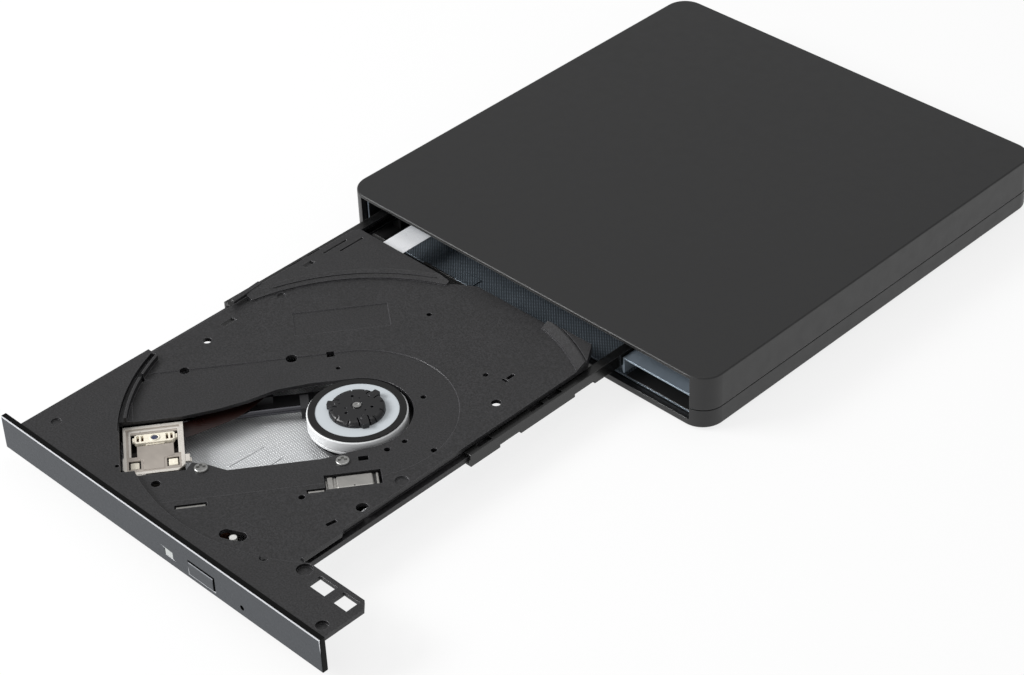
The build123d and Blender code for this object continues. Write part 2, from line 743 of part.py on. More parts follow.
def rear_flat():
    """The stretch of the rear edge where the recess floor runs out level."""
    return tray_block(NOTCH_FROM, REAR_FLAT_TO, SPINDLE_BACK, TRAY_REAR + 1, FLOOR_TOP, DECK_TOP + 1)


def rim_grooves():
    """The groove outside the thin left rib, the gap in the rib, and the line at the right rear corner."""
    grooves = sector(RIM_OUTER + RIM_GROOVE, RIM_OUTER, RIM_START, RIM_END, FLOOR_TOP + 0.2, DECK_TOP + 1)
    grooves += SPINDLE * Rot(0, 0, RIM_GAP_ANGLE) * post(0.9, FLOOR_UNDER - 1, DECK_TOP + 1, RIM_INNER + 0.4, 0)
    line = RECESS_RADIUS + LEDGE_WIDTH + SLOPE_WIDTH + ARC_GROOVE
    return grooves + sector(line + ARC_GROOVE, line, 52, 80, DECK_TOP - ARC_GROOVE, DECK_TOP + 1)


def pickup_window():
    """The opening round the spindle and along the sled line."""
    points = [
        (63.8, -7.4),
        (46.8, -7.4),
        (36.8, -8.9),
        (28.7, -11.1),
        (21.0, -14.2),
        (11.0, -15.4),
        (0.0, -ROTOR_RADIUS - ROTOR_GAP),
        (0.0, ROTOR_RADIUS + ROTOR_GAP),
        (6.0, 16.4),
        (11.2, 17.4),
        (36.0, 17.4),
        (38.1, 16.1),
        (40.8, 14.3),
        (45.1, 12.5),
        (46.8, 15.4),
        (63.8, 15.4),
    ]
    hole = outline(*points) + Circle(ROTOR_RADIUS + ROTOR_GAP)
    return SLED * prism(hole, FLOOR_UNDER - 1, DECK_TOP + 1)


def motor_window():
    """The opening over the sled motor and the two slots over its bracket."""
    half = MOTOR_WIDTH / 2 + SEAT_GAP
    z0 = FLOOR_UNDER - 1
    z1 = DECK_TOP + 1
    hole = block(MOTOR_INNER - 0.4, MOTOR_OUTER + 0.3, SCREW_LINE - half, SCREW_LINE + half, z0, z1)
    slot_in = BRACKET_LINE - 0.5
    slot_out = BRACKET_LINE + BRACKET_SHEET + 0.4
    for start, end in BRACKET_TABS:
        hole += block(start - 0.4, end + 0.4, slot_in, slot_out, z0, z1)
    return SLED * hole


# Holes through the deck, each as sideways place, place back from the bezel, and radius
ROUND_HOLES = [
    (-50.3, 60.8, 1.3),
    (-26.6, 71.3, 1.6),
    (-44.5, 47.8, 1.4),
    (-13.9, 77.2, 0.7),
    (12.7, 84.1, 0.8),
    (22.6, 67.7, 0.8),
    (21.6, 62.3, 0.9),
    (-13.1, 11.9, 1.3),
    (19.4, 34.0, 0.9),
    (33.9, 41.9, 1.7),
    (-12.7, 110.9, 0.8),
    (18.6, 102.1, 0.8),
    (31.1, 10.9, 1.2),
    (29.3, 95.4, 1.4),
    (31.0, 70.4, 0.9),
    (-24.5, 8.4, 0.6),
]

# Square-cornered holes, each as place, length, width and turn
SQUARE_HOLES = [
    (-20.0, 79.9, 2.2, 2.2, 52.8),
    (19.5, 55.6, 2.7, 1.9, 52.8),
    (32.5, 32.4, 3.0, 1.2, 80.0),
    (-54.7, 103.0, 3.5, 1.6, 90.0),
    (-52.4, 70.4, 4.4, 1.7, 90.0),
    (24.2, 106.1, 2.6, 1.1, 90.0),
    (24.2, 103.9, 0.9, 1.8, 90.0),
    (49.7, 13.9, 6.3, 4.3, 0.0),
    (58.1, 13.9, 5.6, 4.4, 0.0),
    (-55.4, 114.0, 9.0, 0.7, 90.0),
    (-52.6, 118.0, 9.0, 0.7, 90.0),
]

# Shallow round marks in the deck
SHALLOW_MARKS = [
    (33.8, 56.0, 1.9),
    (-51.3, 9.0, 1.5),
    (-50.7, 88.8, 1.3),
]
MARK_DEPTH = 0.45

# Blind round holes in the tab
TAB_HOLES = [
    (41.9, 15.0, 2.2),
    (60.0, 4.5, 1.7),
]
OVAL_WIDTH = 7.6
OVAL_HEIGHT = 3.6


def deck_holes():
    """Every hole and mark in the tray's upper face."""
    z0 = FLOOR_UNDER - 1
    z1 = DECK_TOP + 1
    cuts = pickup_window() + motor_window()
    for x, back, radius in ROUND_HOLES:
        cuts += post(radius, z0, z1, x, BEZEL_FRONT + back)
    for x, back, length, width, turn in SQUARE_HOLES:
        cuts += Pos(x, BEZEL_FRONT + back, (z0 + z1) / 2) * Rot(0, 0, turn) * Box(length, width, z1 - z0)
    oval = Pos(LATCH_PIN_X, BEZEL_FRONT + LATCH_PIN_BACK, 0) * SlotOverall(OVAL_WIDTH, OVAL_HEIGHT, rotation=25)
    cuts += prism(oval, z0, z1)
    for x, back, radius in SHALLOW_MARKS:
        level = FLOOR_TOP if back > 12 else DECK_TOP
        cuts += post(radius, level - MARK_DEPTH, z1, x, BEZEL_FRONT + back)
    for x, back, radius in TAB_HOLES:
        cuts += post(radius, DECK_TOP - TRAY_SKIN + 0.3, z1, x, BEZEL_FRONT + back)
    return cuts


def shallow_dip():
    """The faint lower zone of the floor along the sled line."""
    zone = Circle(DIP_RADIUS) + Pos(30, 0) * Rectangle(60, 2 * DIP_RADIUS)
    zone = SLED * zone
    limit = SPINDLE * Circle(RIM_INNER + 0.01)
    plate = Pos(-29.6, SPINDLE_Y + 25.4) * Rot(0, 0, SLED_ANGLE) * Rectangle(27, 10.6)
    plate = plate - (zone & limit)
    return prism((zone & limit) + plate, FLOOR_TOP - DIP_DEPTH, FLOOR_TOP + 1)


def tray_walls():
    """Walls under the deck, and the tongues that the rails hold."""
    front = BEZEL_THICK
    left_bottom = rail_floor(RAIL_LEFT_TOP)
    right_bottom = rail_floor(RAIL_RIGHT_TOP)
    top = FLOOR_UNDER + 0.5
    walls = tray_block(TRAY_LEFT, TRAY_LEFT + TRAY_WALL, front, TRAY_REAR_LEFT - 2, left_bottom, top)
    walls += tray_block(SIDE_WALL_RIGHT - TRAY_WALL, SIDE_WALL_RIGHT, front, TRAY_REAR - 6, right_bottom, top)
    walls += tray_block(TRAY_LEFT, SIDE_WALL_RIGHT, front, front + TRAY_WALL, PAN_TOP + 0.4, top)
    walls += tray_block(NOTCH_FROM, SIDE_WALL_RIGHT, TRAY_REAR - 8, TRAY_REAR - 8 + TRAY_WALL, right_bottom, top)
    tongue = RAIL_WIDTH - RAIL_WALL - SLIDE_GAP
    grip = RAIL_WALL + SLIDE_GAP
    walls += tray_block(RAIL_LEFT_X - tongue, TRAY_LEFT, 12, TRAY_REAR_LEFT - 5,
                        left_bottom + grip, RAIL_LEFT_TOP - grip)
    walls += tray_block(SIDE_WALL_RIGHT, RAIL_RIGHT_X + tongue, TAB_REAR + 3, TRAY_REAR - 8,
                        right_bottom + grip, RAIL_RIGHT_TOP - grip)
    return walls


def under_pockets():
    """The hollows under the raised corners and under the tab, which keep the skin even."""
    reach = 200
    skin = offset(tray_outline(), -TRAY_WALL)
    outside = RIM_OUTER + RIM_GROOVE + TRAY_WALL
    corners = prism(skin, FLOOR_UNDER - 1, DECK_TOP - TRAY_SKIN) - SPINDLE * post(outside, -reach, reach)
    corners -= SPINDLE * post(RECESS_RADIUS + LEDGE_WIDTH + SLOPE_WIDTH + TRAY_WALL, -reach, reach) & \
        SPINDLE * block(-reach, reach, 0, reach, -reach, reach)
    corners -= pocket_zone(TRAY_WALL, -reach, reach)
    corners -= tray_block(NOTCH_FROM - TRAY_WALL, REAR_FLAT_TO + TRAY_WALL, SPINDLE_BACK,
                          2 * TRAY_REAR, -reach, reach)
    tab = tray_block(TRAY_RIGHT + 0.6, TAB_RIGHT + 1, 0, TAB_REAR + 1, FLOOR_UNDER - 1, DECK_TOP - TRAY_SKIN)
    return corners + tab


def tray_screw_places():
    """The two screws in the deck: along the sled line, and across it."""
    return [(5.8, 19.4), (42.8, 15.5)]


def damper_places():
    """The rubber grommets between the deck and the traverse frame."""
    return [(5.8, 19.4), (-18.0, -8.0), (57.0, -15.2)]


def tray_frame():
    """The tray moulding: deck, disc recess with rims, windows, holes, walls and tongues."""
    body = prism(tray_outline(), FLOOR_UNDER, DECK_TOP)
    body -= front_recess()
    body -= rear_recess()
    body -= pocket_zone(0.0, FLOOR_TOP, DECK_TOP + 1)
    body -= rear_flat()
    body -= rim_grooves()
    body -= under_pockets()
    body += tray_walls()
    for along, across in tray_screw_places()[1:]:
        body += SLED * post(1.3, FLOOR_UNDER - 1.3, FLOOR_UNDER + 0.5, along, across)
    body -= deck_holes()
    body -= shallow_dip()
    for along, across in tray_screw_places():
        body -= SLED * post(SCREW_RADIUS + FIT_GAP, FLOOR_UNDER - 2, FLOOR_TOP + 1, along, across)
    body -= bezel_passages()
    return body


def bezel_passages():
    """Holes in the tray's front wall for the button's stem, the light and the pin."""
    z = BEZEL_BOTTOM + BUTTON_BASE
    mid = BUTTON_LEFT + BUTTON_WIDTH / 2
    cuts = tray_block(mid - 3.2, mid + 3.2, 1, 5, z + 0.4, z + BUTTON_HEIGHT - 0.4)
    half = LIGHT_WIDTH / 2 + 0.2
    light = BEZEL_BOTTOM + LIGHT_BASE
    cuts += tray_block(LIGHT_X - half, LIGHT_X + half, 1, 5, light - 0.2, light + LIGHT_HEIGHT + 0.2)
    pin = Pos(PIN_X, BEZEL_FRONT + 3, BEZEL_BOTTOM + 2.9) * Rot(90, 0, 0) * Cylinder(PIN_RADIUS + 0.3, 6)
    return cuts + pin


def bezel():
    """The front bar: softened edges, a button opening, a light window, a pin hole and two clips."""
    half = BEZEL_WIDTH / 2
    bar = tray_block(-half, half, 0, BEZEL_THICK, BEZEL_BOTTOM, BEZEL_TOP)
    face_edges = bar.edges().filter_by(lambda edge: abs(edge.center().Y - BEZEL_FRONT) < 0.01)
    bar = fillet(face_edges, BEZEL_EDGE)
    z = BEZEL_BOTTOM + BUTTON_BASE
    gap = BUTTON_GAP
    bar -= tray_block(BUTTON_LEFT - gap, BUTTON_LEFT + BUTTON_WIDTH + gap, -1, 3,
                      z - gap, z + BUTTON_HEIGHT + gap)
    light = BEZEL_BOTTOM + LIGHT_BASE
    bar -= tray_block(LIGHT_X - LIGHT_WIDTH / 2, LIGHT_X + LIGHT_WIDTH / 2, -1, 3,
                      light, light + LIGHT_HEIGHT)
    bar -= Pos(PIN_X, BEZEL_FRONT, BEZEL_BOTTOM + 2.9) * Rot(90, 0, 0) * Cylinder(PIN_RADIUS, 6)
    clip_top = DECK_TOP - TRAY_SKIN
    for x in (half - 22, half - 8):
        bar += tray_block(x, x + 4, BEZEL_THICK - 0.2, BEZEL_THICK + 2.2, clip_top - 1.4, clip_top)
    return bar


def eject_button():
    """The oblong button in the bezel with its stem to the switch."""
    z = BEZEL_BOTTOM + BUTTON_BASE
    face = tray_block(BUTTON_LEFT, BUTTON_LEFT + BUTTON_WIDTH, -BUTTON_PROUD, BEZEL_THICK - 0.65,
                      z, z + BUTTON_HEIGHT)
    front_y = BEZEL_FRONT - BUTTON_PROUD
    front = face.edges().filter_by(lambda edge: abs(edge.center().Y - front_y) < 0.01)
    face = fillet(front, 0.25)
    mid = BUTTON_LEFT + BUTTON_WIDTH / 2
    face += tray_block(mid - 2.8, mid + 2.8, BEZEL_THICK - 0.9, 3.9, z + 0.8, z + BUTTON_HEIGHT - 0.8)
    return face


def light_guide():
    """The clear piece that carries the light from the board to the bezel's window."""
    light = BEZEL_BOTTOM + LIGHT_BASE
    half = LIGHT_WIDTH / 2 - FIT_GAP
    z0 = light + FIT_GAP
    z1 = light + LIGHT_HEIGHT - FIT_GAP
    return tray_block(LIGHT_X - half, LIGHT_X + half, 0.1, 4.2, z0, z1)


def tray_board():
    """The small circuit board behind the bezel, hung under the deck."""
    z1 = FLOOR_UNDER - 0.3
    board = tray_block(TRAY_BOARD_LEFT, TRAY_BOARD_RIGHT, BEZEL_THICK + TRAY_WALL + 0.2, TRAY_BOARD_BACK,
                       z1 - BOARD_THICK, z1)
    for x in (TRAY_BOARD_LEFT + 8.5, TRAY_BOARD_RIGHT - 2.0):
        board += post(0.9, z1 - 0.1, FLOOR_UNDER, x, BEZEL_FRONT + TRAY_BOARD_BACK - 1.7)
    return board


def eject_switch():
    """The tact switch below that board, just behind the button's stem."""
    z1 = FLOOR_UNDER - 0.3 - BOARD_THICK
    z0 = BEZEL_BOTTOM + BUTTON_BASE
    mid = BUTTON_LEFT + BUTTON_WIDTH / 2
    switch = tray_block(mid - 3, mid + 3, 3.9 + BUTTON_TRAVEL + 0.9, 9.0, z0, z1)
    plunger_z = z0 + BUTTON_HEIGHT / 2
    plunger = Rot(90, 0, 0) * Cylinder(0.9, 1.0)
    return switch + Pos(mid, BEZEL_FRONT + 3.9 + BUTTON_TRAVEL + 0.6, plunger_z) * plunger


def indicator():
    """The light itself, behind the light guide."""
    z1 = FLOOR_UNDER - 0.3 - BOARD_THICK
    light = BEZEL_BOTTOM + LIGHT_BASE
    return tray_block(LIGHT_X - 1.2, LIGHT_X + 1.2, 4.4, 6.4, light + 0.2, z1)


def shield():
    """The thin plate under the tray: floor, upturned sides, a stepped left edge and screw dimples."""
    left = TRAY_LEFT + TRAY_WALL + 0.2
    right = SIDE_WALL_RIGHT - TRAY_WALL - 0.2
    front = BEZEL_THICK + TRAY_WALL + 0.2
    rear = TRAY_REAR - 8.4
    plate = tray_block(left, right, front, SHIELD_NOTCH, SHIELD_BOTTOM, SHIELD_TOP)
    plate += tray_block(SHIELD_LEFT, right, front, rear, SHIELD_BOTTOM, SHIELD_TOP)
    top = FLOOR_UNDER
    sheet = SHIELD_SHEET
    plate += tray_block(left, left + sheet, front, SHIELD_NOTCH, SHIELD_BOTTOM, top)
    plate += tray_block(SHIELD_LEFT, SHIELD_LEFT + sheet, SHIELD_NOTCH, rear, SHIELD_BOTTOM, top)
    plate += tray_block(right - sheet, right, LATCH_BACK + 4, rear, SHIELD_BOTTOM, top)
    plate -= tray_block(LATCH_X - 5, right + 1, front - 1, LATCH_BACK + 4, SHIELD_BOTTOM - 1, SHIELD_TOP + 1)
    plate -= post(SHIELD_HOLE, SHIELD_BOTTOM - 1, SHIELD_TOP + 1, 22.2, BEZEL_FRONT + 102.2)
    return plate


def frame_area():
    """The room inside the tray's walls, as a flat outline."""
    inset = TRAY_WALL + SHIELD_SHEET + 0.5
    x0 = TRAY_LEFT + inset
    x1 = SIDE_WALL_RIGHT - inset
    y0 = BEZEL_FRONT + BEZEL_THICK + TRAY_WALL + 0.4
    y1 = BEZEL_FRONT + TRAY_REAR - 10
    return Pos((x0 + x1) / 2, (y0 + y1) / 2) * Rectangle(x1 - x0, y1 - y0)


def traverse_frame():
    """The plate that carries the spindle motor, the rods and the sled motor."""
    outer = ROD_OUTER + FRAME_END
    left = ROD_LEFT - FRAME_SIDE
    right = SCREW_LINE + FRAME_BEYOND
    centre = Pos((FRAME_INNER + outer) / 2, (left + right) / 2)
    area = SLED * (centre * RectangleRounded(outer - FRAME_INNER, right - left, 4))
    plate = prism(area & frame_area(), FRAME_BOTTOM, FRAME_TOP)
    z0 = FRAME_BOTTOM - 1
    z1 = FRAME_TOP + 1
    opening = SLED * block(FRAME_OPENING, PICKUP_OUTER + 0.7, ROD_LEFT - 2.8, ROD_RIGHT + 2.5, z0, z1)
    plate -= opening - SPINDLE * post(STATOR_RADIUS + 1, z0, z1)
    half = MOTOR_WIDTH / 2 + 0.1
    plate -= SLED * block(MOTOR_INNER - 0.1, BRACKET_OUTER - 1, SCREW_LINE - half, SCREW_LINE + half, z0, z1)
    for across in (ROD_LEFT, ROD_RIGHT):
        for along in (ROD_INNER, ROD_OUTER - ROD_BLOCK):
            foot = ROD_FOOT if across > 0 else -ROD_FOOT
            seat = SLED * block(along, along + ROD_BLOCK, across - foot / 2, across + foot,
                                FRAME_BOTTOM, ROD_SEAT)
            plate += seat & prism(frame_area(), FRAME_BOTTOM - 1, ROD_SEAT + 1)
        plate -= lying_rod(ROD_RADIUS + FIT_GAP, ROD_INNER + 0.4, ROD_OUTER - 0.4, across, ROD_Z)
    for along, across in damper_places():
        plate += SLED * post(2.4, FRAME_TOP - 0.5, FLOOR_UNDER - 0.8, along, across)
    plate += SLED * block(*FLEX_SEAT_ALONG, *FLEX_SEAT_ACROSS, FRAME_TOP - 0.5, ROD_SEAT)
    for along, across in damper_places()[:1]:
        plate -= SLED * post(SCREW_RADIUS + FIT_GAP, FRAME_TOP + 0.5, FLOOR_UNDER, along, across)
    return plate


def dampers():
    """Soft grommets on the traverse frame's posts."""
    rubbers = []
    for along, across in damper_places():
        rubber = post(2.2, FLOOR_UNDER - 0.8, FLOOR_UNDER, along, across)
        rubber -= post(SCREW_RADIUS + FIT_GAP, FLOOR_UNDER - 2, FLOOR_UNDER + 1, along, across)
        rubbers.append(SLED * rubber)
    return Compound(rubbers)


def guide_rods():
    """The two polished rods that the pickup slides on."""
    rods = []
    for across in (ROD_LEFT, ROD_RIGHT):
        rods.append(lying_rod(ROD_RADIUS, ROD_INNER + 0.5, ROD_OUTER - 0.5, across, ROD_Z))
    return Compound(rods)


def tray_screws():
    """The two bright screws in the deck, with domed heads and cross recesses."""
    screws = []
    for along, across in tray_screw_places():
        dip = FLOOR_TOP - DIP_DEPTH
        head = post(1.9, dip, dip + 0.6, along, across)
        head = fillet(head.edges().group_by(Axis.Z)[-1], 0.4)
        head -= cross_recess(1.9, along, across, dip + 0.6)
        head += post(SCREW_RADIUS, FLOOR_UNDER - 1.2, dip, along, across)
        screws.append(SLED * head)
    return Compound(screws)


def spindle_stator():
    """The spindle motor's base plate, bearing sleeve and toothed core."""
    base = post(STATOR_RADIUS, FRAME_TOP, FRAME_TOP + 0.5)
    base += post(4.0, FRAME_TOP, ROTOR_BOTTOM + 0.6)
    base += post(2.0, FRAME_TOP, ROTOR_TOP - ROTOR_WALL - 0.3)
    core = post(ROTOR_RADIUS - ROTOR_WALL - 0.6, ROTOR_BOTTOM + 0.6, ROTOR_BOTTOM + 2.2)
    for step in range(9):
        slot = Rot(0, 0, 40 * step) * block(5.5, 20, -0.7, 0.7, ROTOR_BOTTOM, ROTOR_BOTTOM + 4)
        core -= slot
    base += core
    base -= post(SHAFT_RADIUS + RUN_GAP, FRAME_TOP + 0.2, HUB_TOP)
    return SPINDLE * base


def rotor_cup():
    """The white rotor: a cup with a lipped skirt."""
    r = ROTOR_RADIUS
    wall = ROTOR_WALL
    profile = Polyline(
        (SHAFT_RADIUS, ROTOR_TOP),
        (r - 0.25, ROTOR_TOP),
        (r, ROTOR_TOP - 0.25),
        (r, ROTOR_BOTTOM + 1.0),
        (r - 0.3, ROTOR_BOTTOM + 0.8),
        (r, ROTOR_BOTTOM + 0.6),
        (r, ROTOR_BOTTOM),
        (r - wall, ROTOR_BOTTOM),
        (r - wall, ROTOR_TOP - wall),
        (SHAFT_RADIUS, ROTOR_TOP - wall),
        close=True,
    )
    return SPINDLE * revolve(Plane.XZ * make_face(profile), Axis.Z)


def turntable_ring():
    """The rubber ring that the disc lies on."""
    body = ring(RING_OUTER, RING_INNER, ROTOR_TOP, RING_TOP)
    return SPINDLE * body


def turntable():
    """The pale plate inside the rubber ring."""
    body = ring(RING_INNER - FIT_GAP, HUB_RADIUS - 1.0, ROTOR_TOP, RING_TOP - 0.15)
    return SPINDLE * body


def clamp_hub():
    """The black hub that the disc snaps onto: slotted skirt, sloping crown, claws and small holes."""
    r = HUB_RADIUS
    base = RING_TOP - 0.15
    profile = Polyline(
        (SHAFT_RADIUS + FIT_GAP, ROTOR_TOP),
        (HUB_RADIUS - 1.1, ROTOR_TOP),
        (HUB_RADIUS - 1.1, base),
        (r, base),
        (r, base + 0.7),
        (r - 0.5, HUB_TOP - 0.25),
        (r - 1.4, HUB_TOP),
        (CAP_RADIUS + 0.5, HUB_TOP),
        (CAP_RADIUS + 0.5, HUB_TOP - 0.3),
        (SHAFT_RADIUS + FIT_GAP, HUB_TOP - 0.3),
        close=True,
    )
    body = revolve(Plane.XZ * make_face(profile), Axis.Z)
    for step in range(HUB_SLOTS):
        angle = 360 / HUB_SLOTS * (step + 0.5)
        body -= Rot(0, 0, angle) * block(r - 1.3, r + 1, -0.16, 0.16, base + 0.1, HUB_TOP + 1)
    for step in range(CLAW_COUNT):
        turn = Rot(0, 0, 360 / CLAW_COUNT * step + 20)
        claw = block(r - 2.2, r + 0.6, -1.0, 1.0, base + 0.1, HUB_TOP - 0.15)
        body += turn * fillet(claw.edges().filter_by(Axis.Z), 0.4)
        for side in (-1, 1):
            body -= turn * block(r - 2.6, r + 1, side * 1.45 - 0.2, side * 1.45 + 0.2, base + 0.1, HUB_TOP + 1)
        body -= turn * post(0.3, HUB_TOP - 0.6, HUB_TOP + 1, r - 2.8, 0)
        body -= turn * Rot(0, 0, 60) * post(0.45, HUB_TOP - 0.7, HUB_TOP + 1, 4.2, 0)
        body -= turn * Rot(0, 0, 30) * post(0.3, HUB_TOP - 0.6, HUB_TOP + 1, 3.2, 0)
    return SPINDLE * body


def hub_screw():
    """The bright cap of the spindle shaft at the hub's middle, and the shaft below it."""
    cap = post(CAP_RADIUS, HUB_TOP - 0.3, HUB_TOP + 0.2)
    cap -= post(CAP_RADIUS / 2, HUB_TOP + 0.08, HUB_TOP + 1)
    shaft = post(SHAFT_RADIUS, FRAME_TOP + 0.5, HUB_TOP)
    return SPINDLE * (cap + shaft)


def sled_motor():
    """The flat-sided stepper motor, seen through its window in the deck."""
    half = MOTOR_WIDTH / 2
    top = FLOOR_TOP - 0.5
    body = block(MOTOR_INNER, MOTOR_OUTER - BRACKET_SHEET, SCREW_LINE - half, SCREW_LINE + half,
                 FRAME_BOTTOM, top)
    body = chamfer(body.edges().filter_by(Axis.X), 0.5)
    body -= block(MOTOR_OUTER - 2.4, MOTOR_OUTER - 2.1, SCREW_LINE - half - 1, SCREW_LINE + half + 1,
                  top - 0.2, top + 1)
    return SLED * body


def motor_bracket():
    """The bent strip that holds the motor and the far end of the lead screw."""
    web_in = BRACKET_LINE
    web_out = web_in + BRACKET_SHEET
    top = FLOOR_UNDER - 0.2
    strip = block(MOTOR_INNER, BRACKET_OUTER, web_in, web_out, FRAME_TOP, top)
    for start, end in BRACKET_TABS:
        strip += block(start, end, web_in, web_out, top - 0.5, FLOOR_TOP - 0.3)
    for start in (MOTOR_OUTER - BRACKET_SHEET, BRACKET_OUTER - BRACKET_SHEET):
        strip += block(start, start + BRACKET_SHEET, SCREW_LINE - 2.2, web_in + 0.1, FRAME_TOP, top)
    strip = SLED * strip
    return strip - lying_rod(LEAD_RADIUS + RUN_GAP, 0, 80, SCREW_LINE, ROD_Z)


def lead_screw():
    """The lead screw, with grooves along its working length."""
    screw = lying_rod(LEAD_RADIUS, MOTOR_OUTER - BRACKET_SHEET + 0.1, BRACKET_OUTER - 0.1, SCREW_LINE, ROD_Z)
    for step in range(13):
        along = MOTOR_OUTER + 2.5 + 3.0 * step
        groove = lying_rod(LEAD_RADIUS + 1, along, along + 1.2, SCREW_LINE, ROD_Z)
        groove -= lying_rod(LEAD_RADIUS - 0.25, along - 1, along + 3, SCREW_LINE, ROD_Z)
        screw -= groove
    return screw


def pickup_base():
    """The cast body that slides on the rods, with a well for the lens and an arm to the lead screw."""
    bottom = FRAME_BOTTOM
    body = block(PICKUP_INNER + 0.2, PICKUP_OUTER - 0.2, PICKUP_LEFT + 0.2, PICKUP_RIGHT - 0.2, bottom, COVER_UNDER)
    body = chamfer(body.edges().filter_by(Axis.Z), 1.0)
    body -= block(LENS_AT - 6.4, LENS_AT + 6.4, -3.8, 3.6, bottom + 1.2, COVER_UNDER + 1)
    body -= block(PICKUP_INNER - 1, PICKUP_INNER + 2.4, 4.5, 9.0, bottom - 1, COVER_UNDER - 1.2)
    rod_room = ROD_RADIUS + RUN_GAP
    body += block(49.0, 61.0, ROD_LEFT - 2.0, PICKUP_LEFT + 1, ROD_Z - 1.7, ROD_Z + 1.7)
    body += block(52.5, 57.0, PICKUP_RIGHT - 1, ROD_RIGHT + 1.9, ROD_Z - 1.7, ROD_Z + 1.3)
    body = SLED * body
    body -= lying_rod(rod_room, 0, 90, ROD_LEFT, ROD_Z)
    body -= lying_rod(rod_room, 0, 90, ROD_RIGHT, ROD_Z)
    rack_z = ROD_Z + ROD_RADIUS + 0.15
    rack_out = SCREW_LINE - LEAD_RADIUS - 0.1
    arm = block(48.8, 51.6, PICKUP_RIGHT - 1, rack_out, rack_z, rack_z + 0.35)
    arm += block(48.8, 51.6, rack_out - 0.6, rack_out, ROD_Z - 1.0, rack_z + 0.35)
    return body + SLED * arm


def pickup_cover():
    """The nickel cover: a stepped plate with the lens opening, two windows and folded tabs."""
    plate = block(PICKUP_INNER, PICKUP_OUTER, PICKUP_LEFT, PICKUP_RIGHT, COVER_UNDER, COVER_TOP)
    corner = plate.edges().filter_by(Axis.Z).sort_by(Axis.X)[:2].sort_by(Axis.Y)[-1]
    plate = chamfer(corner, 1.8)
    inner = block(PICKUP_INNER + 1.1, PICKUP_OUTER - 1.1, -4.6, PICKUP_RIGHT - 1.0, COVER_TOP - 0.2, COVER_TOP + 1)
    plate -= inner
    z0 = COVER_UNDER - 1
    z1 = COVER_TOP + 1
    plate -= block(LENS_AT - 6.2, LENS_AT + 6.2, -3.2, 1.6, z0, z1)
    for along in (LENS_AT - 6.2, LENS_AT + 4.8):
        plate -= block(along, along + 1.4, 1.4, 6.4, z0, z1)
    plate -= block(48.3, 51.5, 8.0, 11.2, z0, z1)
    plate -= block(58.4, 61.6, 8.4, 11.4, z0, z1)
    plate += block(PICKUP_INNER - 1.3, PICKUP_INNER + 0.2, 10.0, 12.6, COVER_UNDER, COVER_TOP)
    plate += block(57.0, 59.6, PICKUP_RIGHT - 0.1, PICKUP_RIGHT + 0.3, COVER_UNDER - 1.0, COVER_TOP)
    return SLED * plate


def lens_holder():
    """The lens carrier on its wires, with coil slots at both ends."""
    top = COVER_TOP + 0.5
    body = block(LENS_AT - 5.8, LENS_AT + 5.8, -2.6, 1.0, COVER_UNDER - 1.4, top)
    body = chamfer(body.edges().filter_by(Axis.Z), 0.5)
    for side in (-1, 1):
        for step in (3.1, 4.3):
            x = LENS_AT + side * step
            body -= block(x - 0.3, x + 0.3, -1.9, 0.3, COVER_TOP - 0.3, top + 1)
    body += post(LENS_RADIUS + 0.55, COVER_UNDER - 0.4, top + 0.25, LENS_AT, LENS_ACROSS)
    body -= post(LENS_RADIUS, COVER_TOP, top + 1, LENS_AT, LENS_ACROSS)
    return SLED * body


def lens():
    """The objective lens: a shallow dome in its seat."""
    z = COVER_TOP
    dome = post(LENS_RADIUS - FIT_GAP, z, z + 0.7, LENS_AT, LENS_ACROSS)
    dome = fillet(dome.edges().group_by(Axis.Z)[-1], 0.4)
    return SLED * dome


def pickup_flex():
    """The flat cable from the pickup, over the left rod, to its seat on the traverse frame."""
    near = Spline((PICKUP_INNER + 0.15, -1.0), (40.4, -3.6), (32.1, -7.4), (FLEX_SEAT_ALONG[1], -12.2))
    far = Spline((FLEX_SEAT_ALONG[0], -17.4), (30.0, -14.6), (38.0, -11.2), (PICKUP_INNER + 0.15, -7.6))
    turn = Line(near @ 1, far @ 0)
    end = Line(far @ 1, near @ 0)
    strip = make_face([near, turn, far, end])
    return prism(SLED * strip, ROD_SEAT, ROD_SEAT + FLEX_THICK)


def latch_arm():
    """The latch lever: a bar with its hook under the tab side, and the pale pin seen in the oval hole."""
    z0 = LATCH_BOTTOM
    z1 = z0 + LATCH_THICK
    y = BEZEL_FRONT + LATCH_BACK
    latched_y = PAN_FRONT + KEEPER_BACK + KEEPER_SIZE + 0.4 - TRAY_TRAVEL
    hook_y = latched_y - LATCH_SWING * (LATCH_REACH - LATCH_X)
    bar = outline(
        (LATCH_PIN_X - 1.6, y - 2.4),
        (LATCH_X + 1, y - 2.6),
        (SIDE_WALL_RIGHT, hook_y + 0.3),
        (LATCH_REACH, hook_y),
        (LATCH_REACH - 0.8, hook_y + 1.6),
        (SIDE_WALL_RIGHT - 1, hook_y + 2.4),
        (LATCH_X + 2, y + 2.2),
        (LATCH_PIN_X - 1.6, y + 1.4),
    )
    lever = prism(bar, z0, z1)
    lever += post(1.0, z0, FLOOR_TOP - 0.7, LATCH_PIN_X, BEZEL_FRONT + LATCH_PIN_BACK)
    lever += post(2.2, z0, z1 + 0.8, LATCH_X, y)
    return lever - post(LATCH_PIVOT_RADIUS + RUN_GAP, 0, 20, LATCH_X, y)


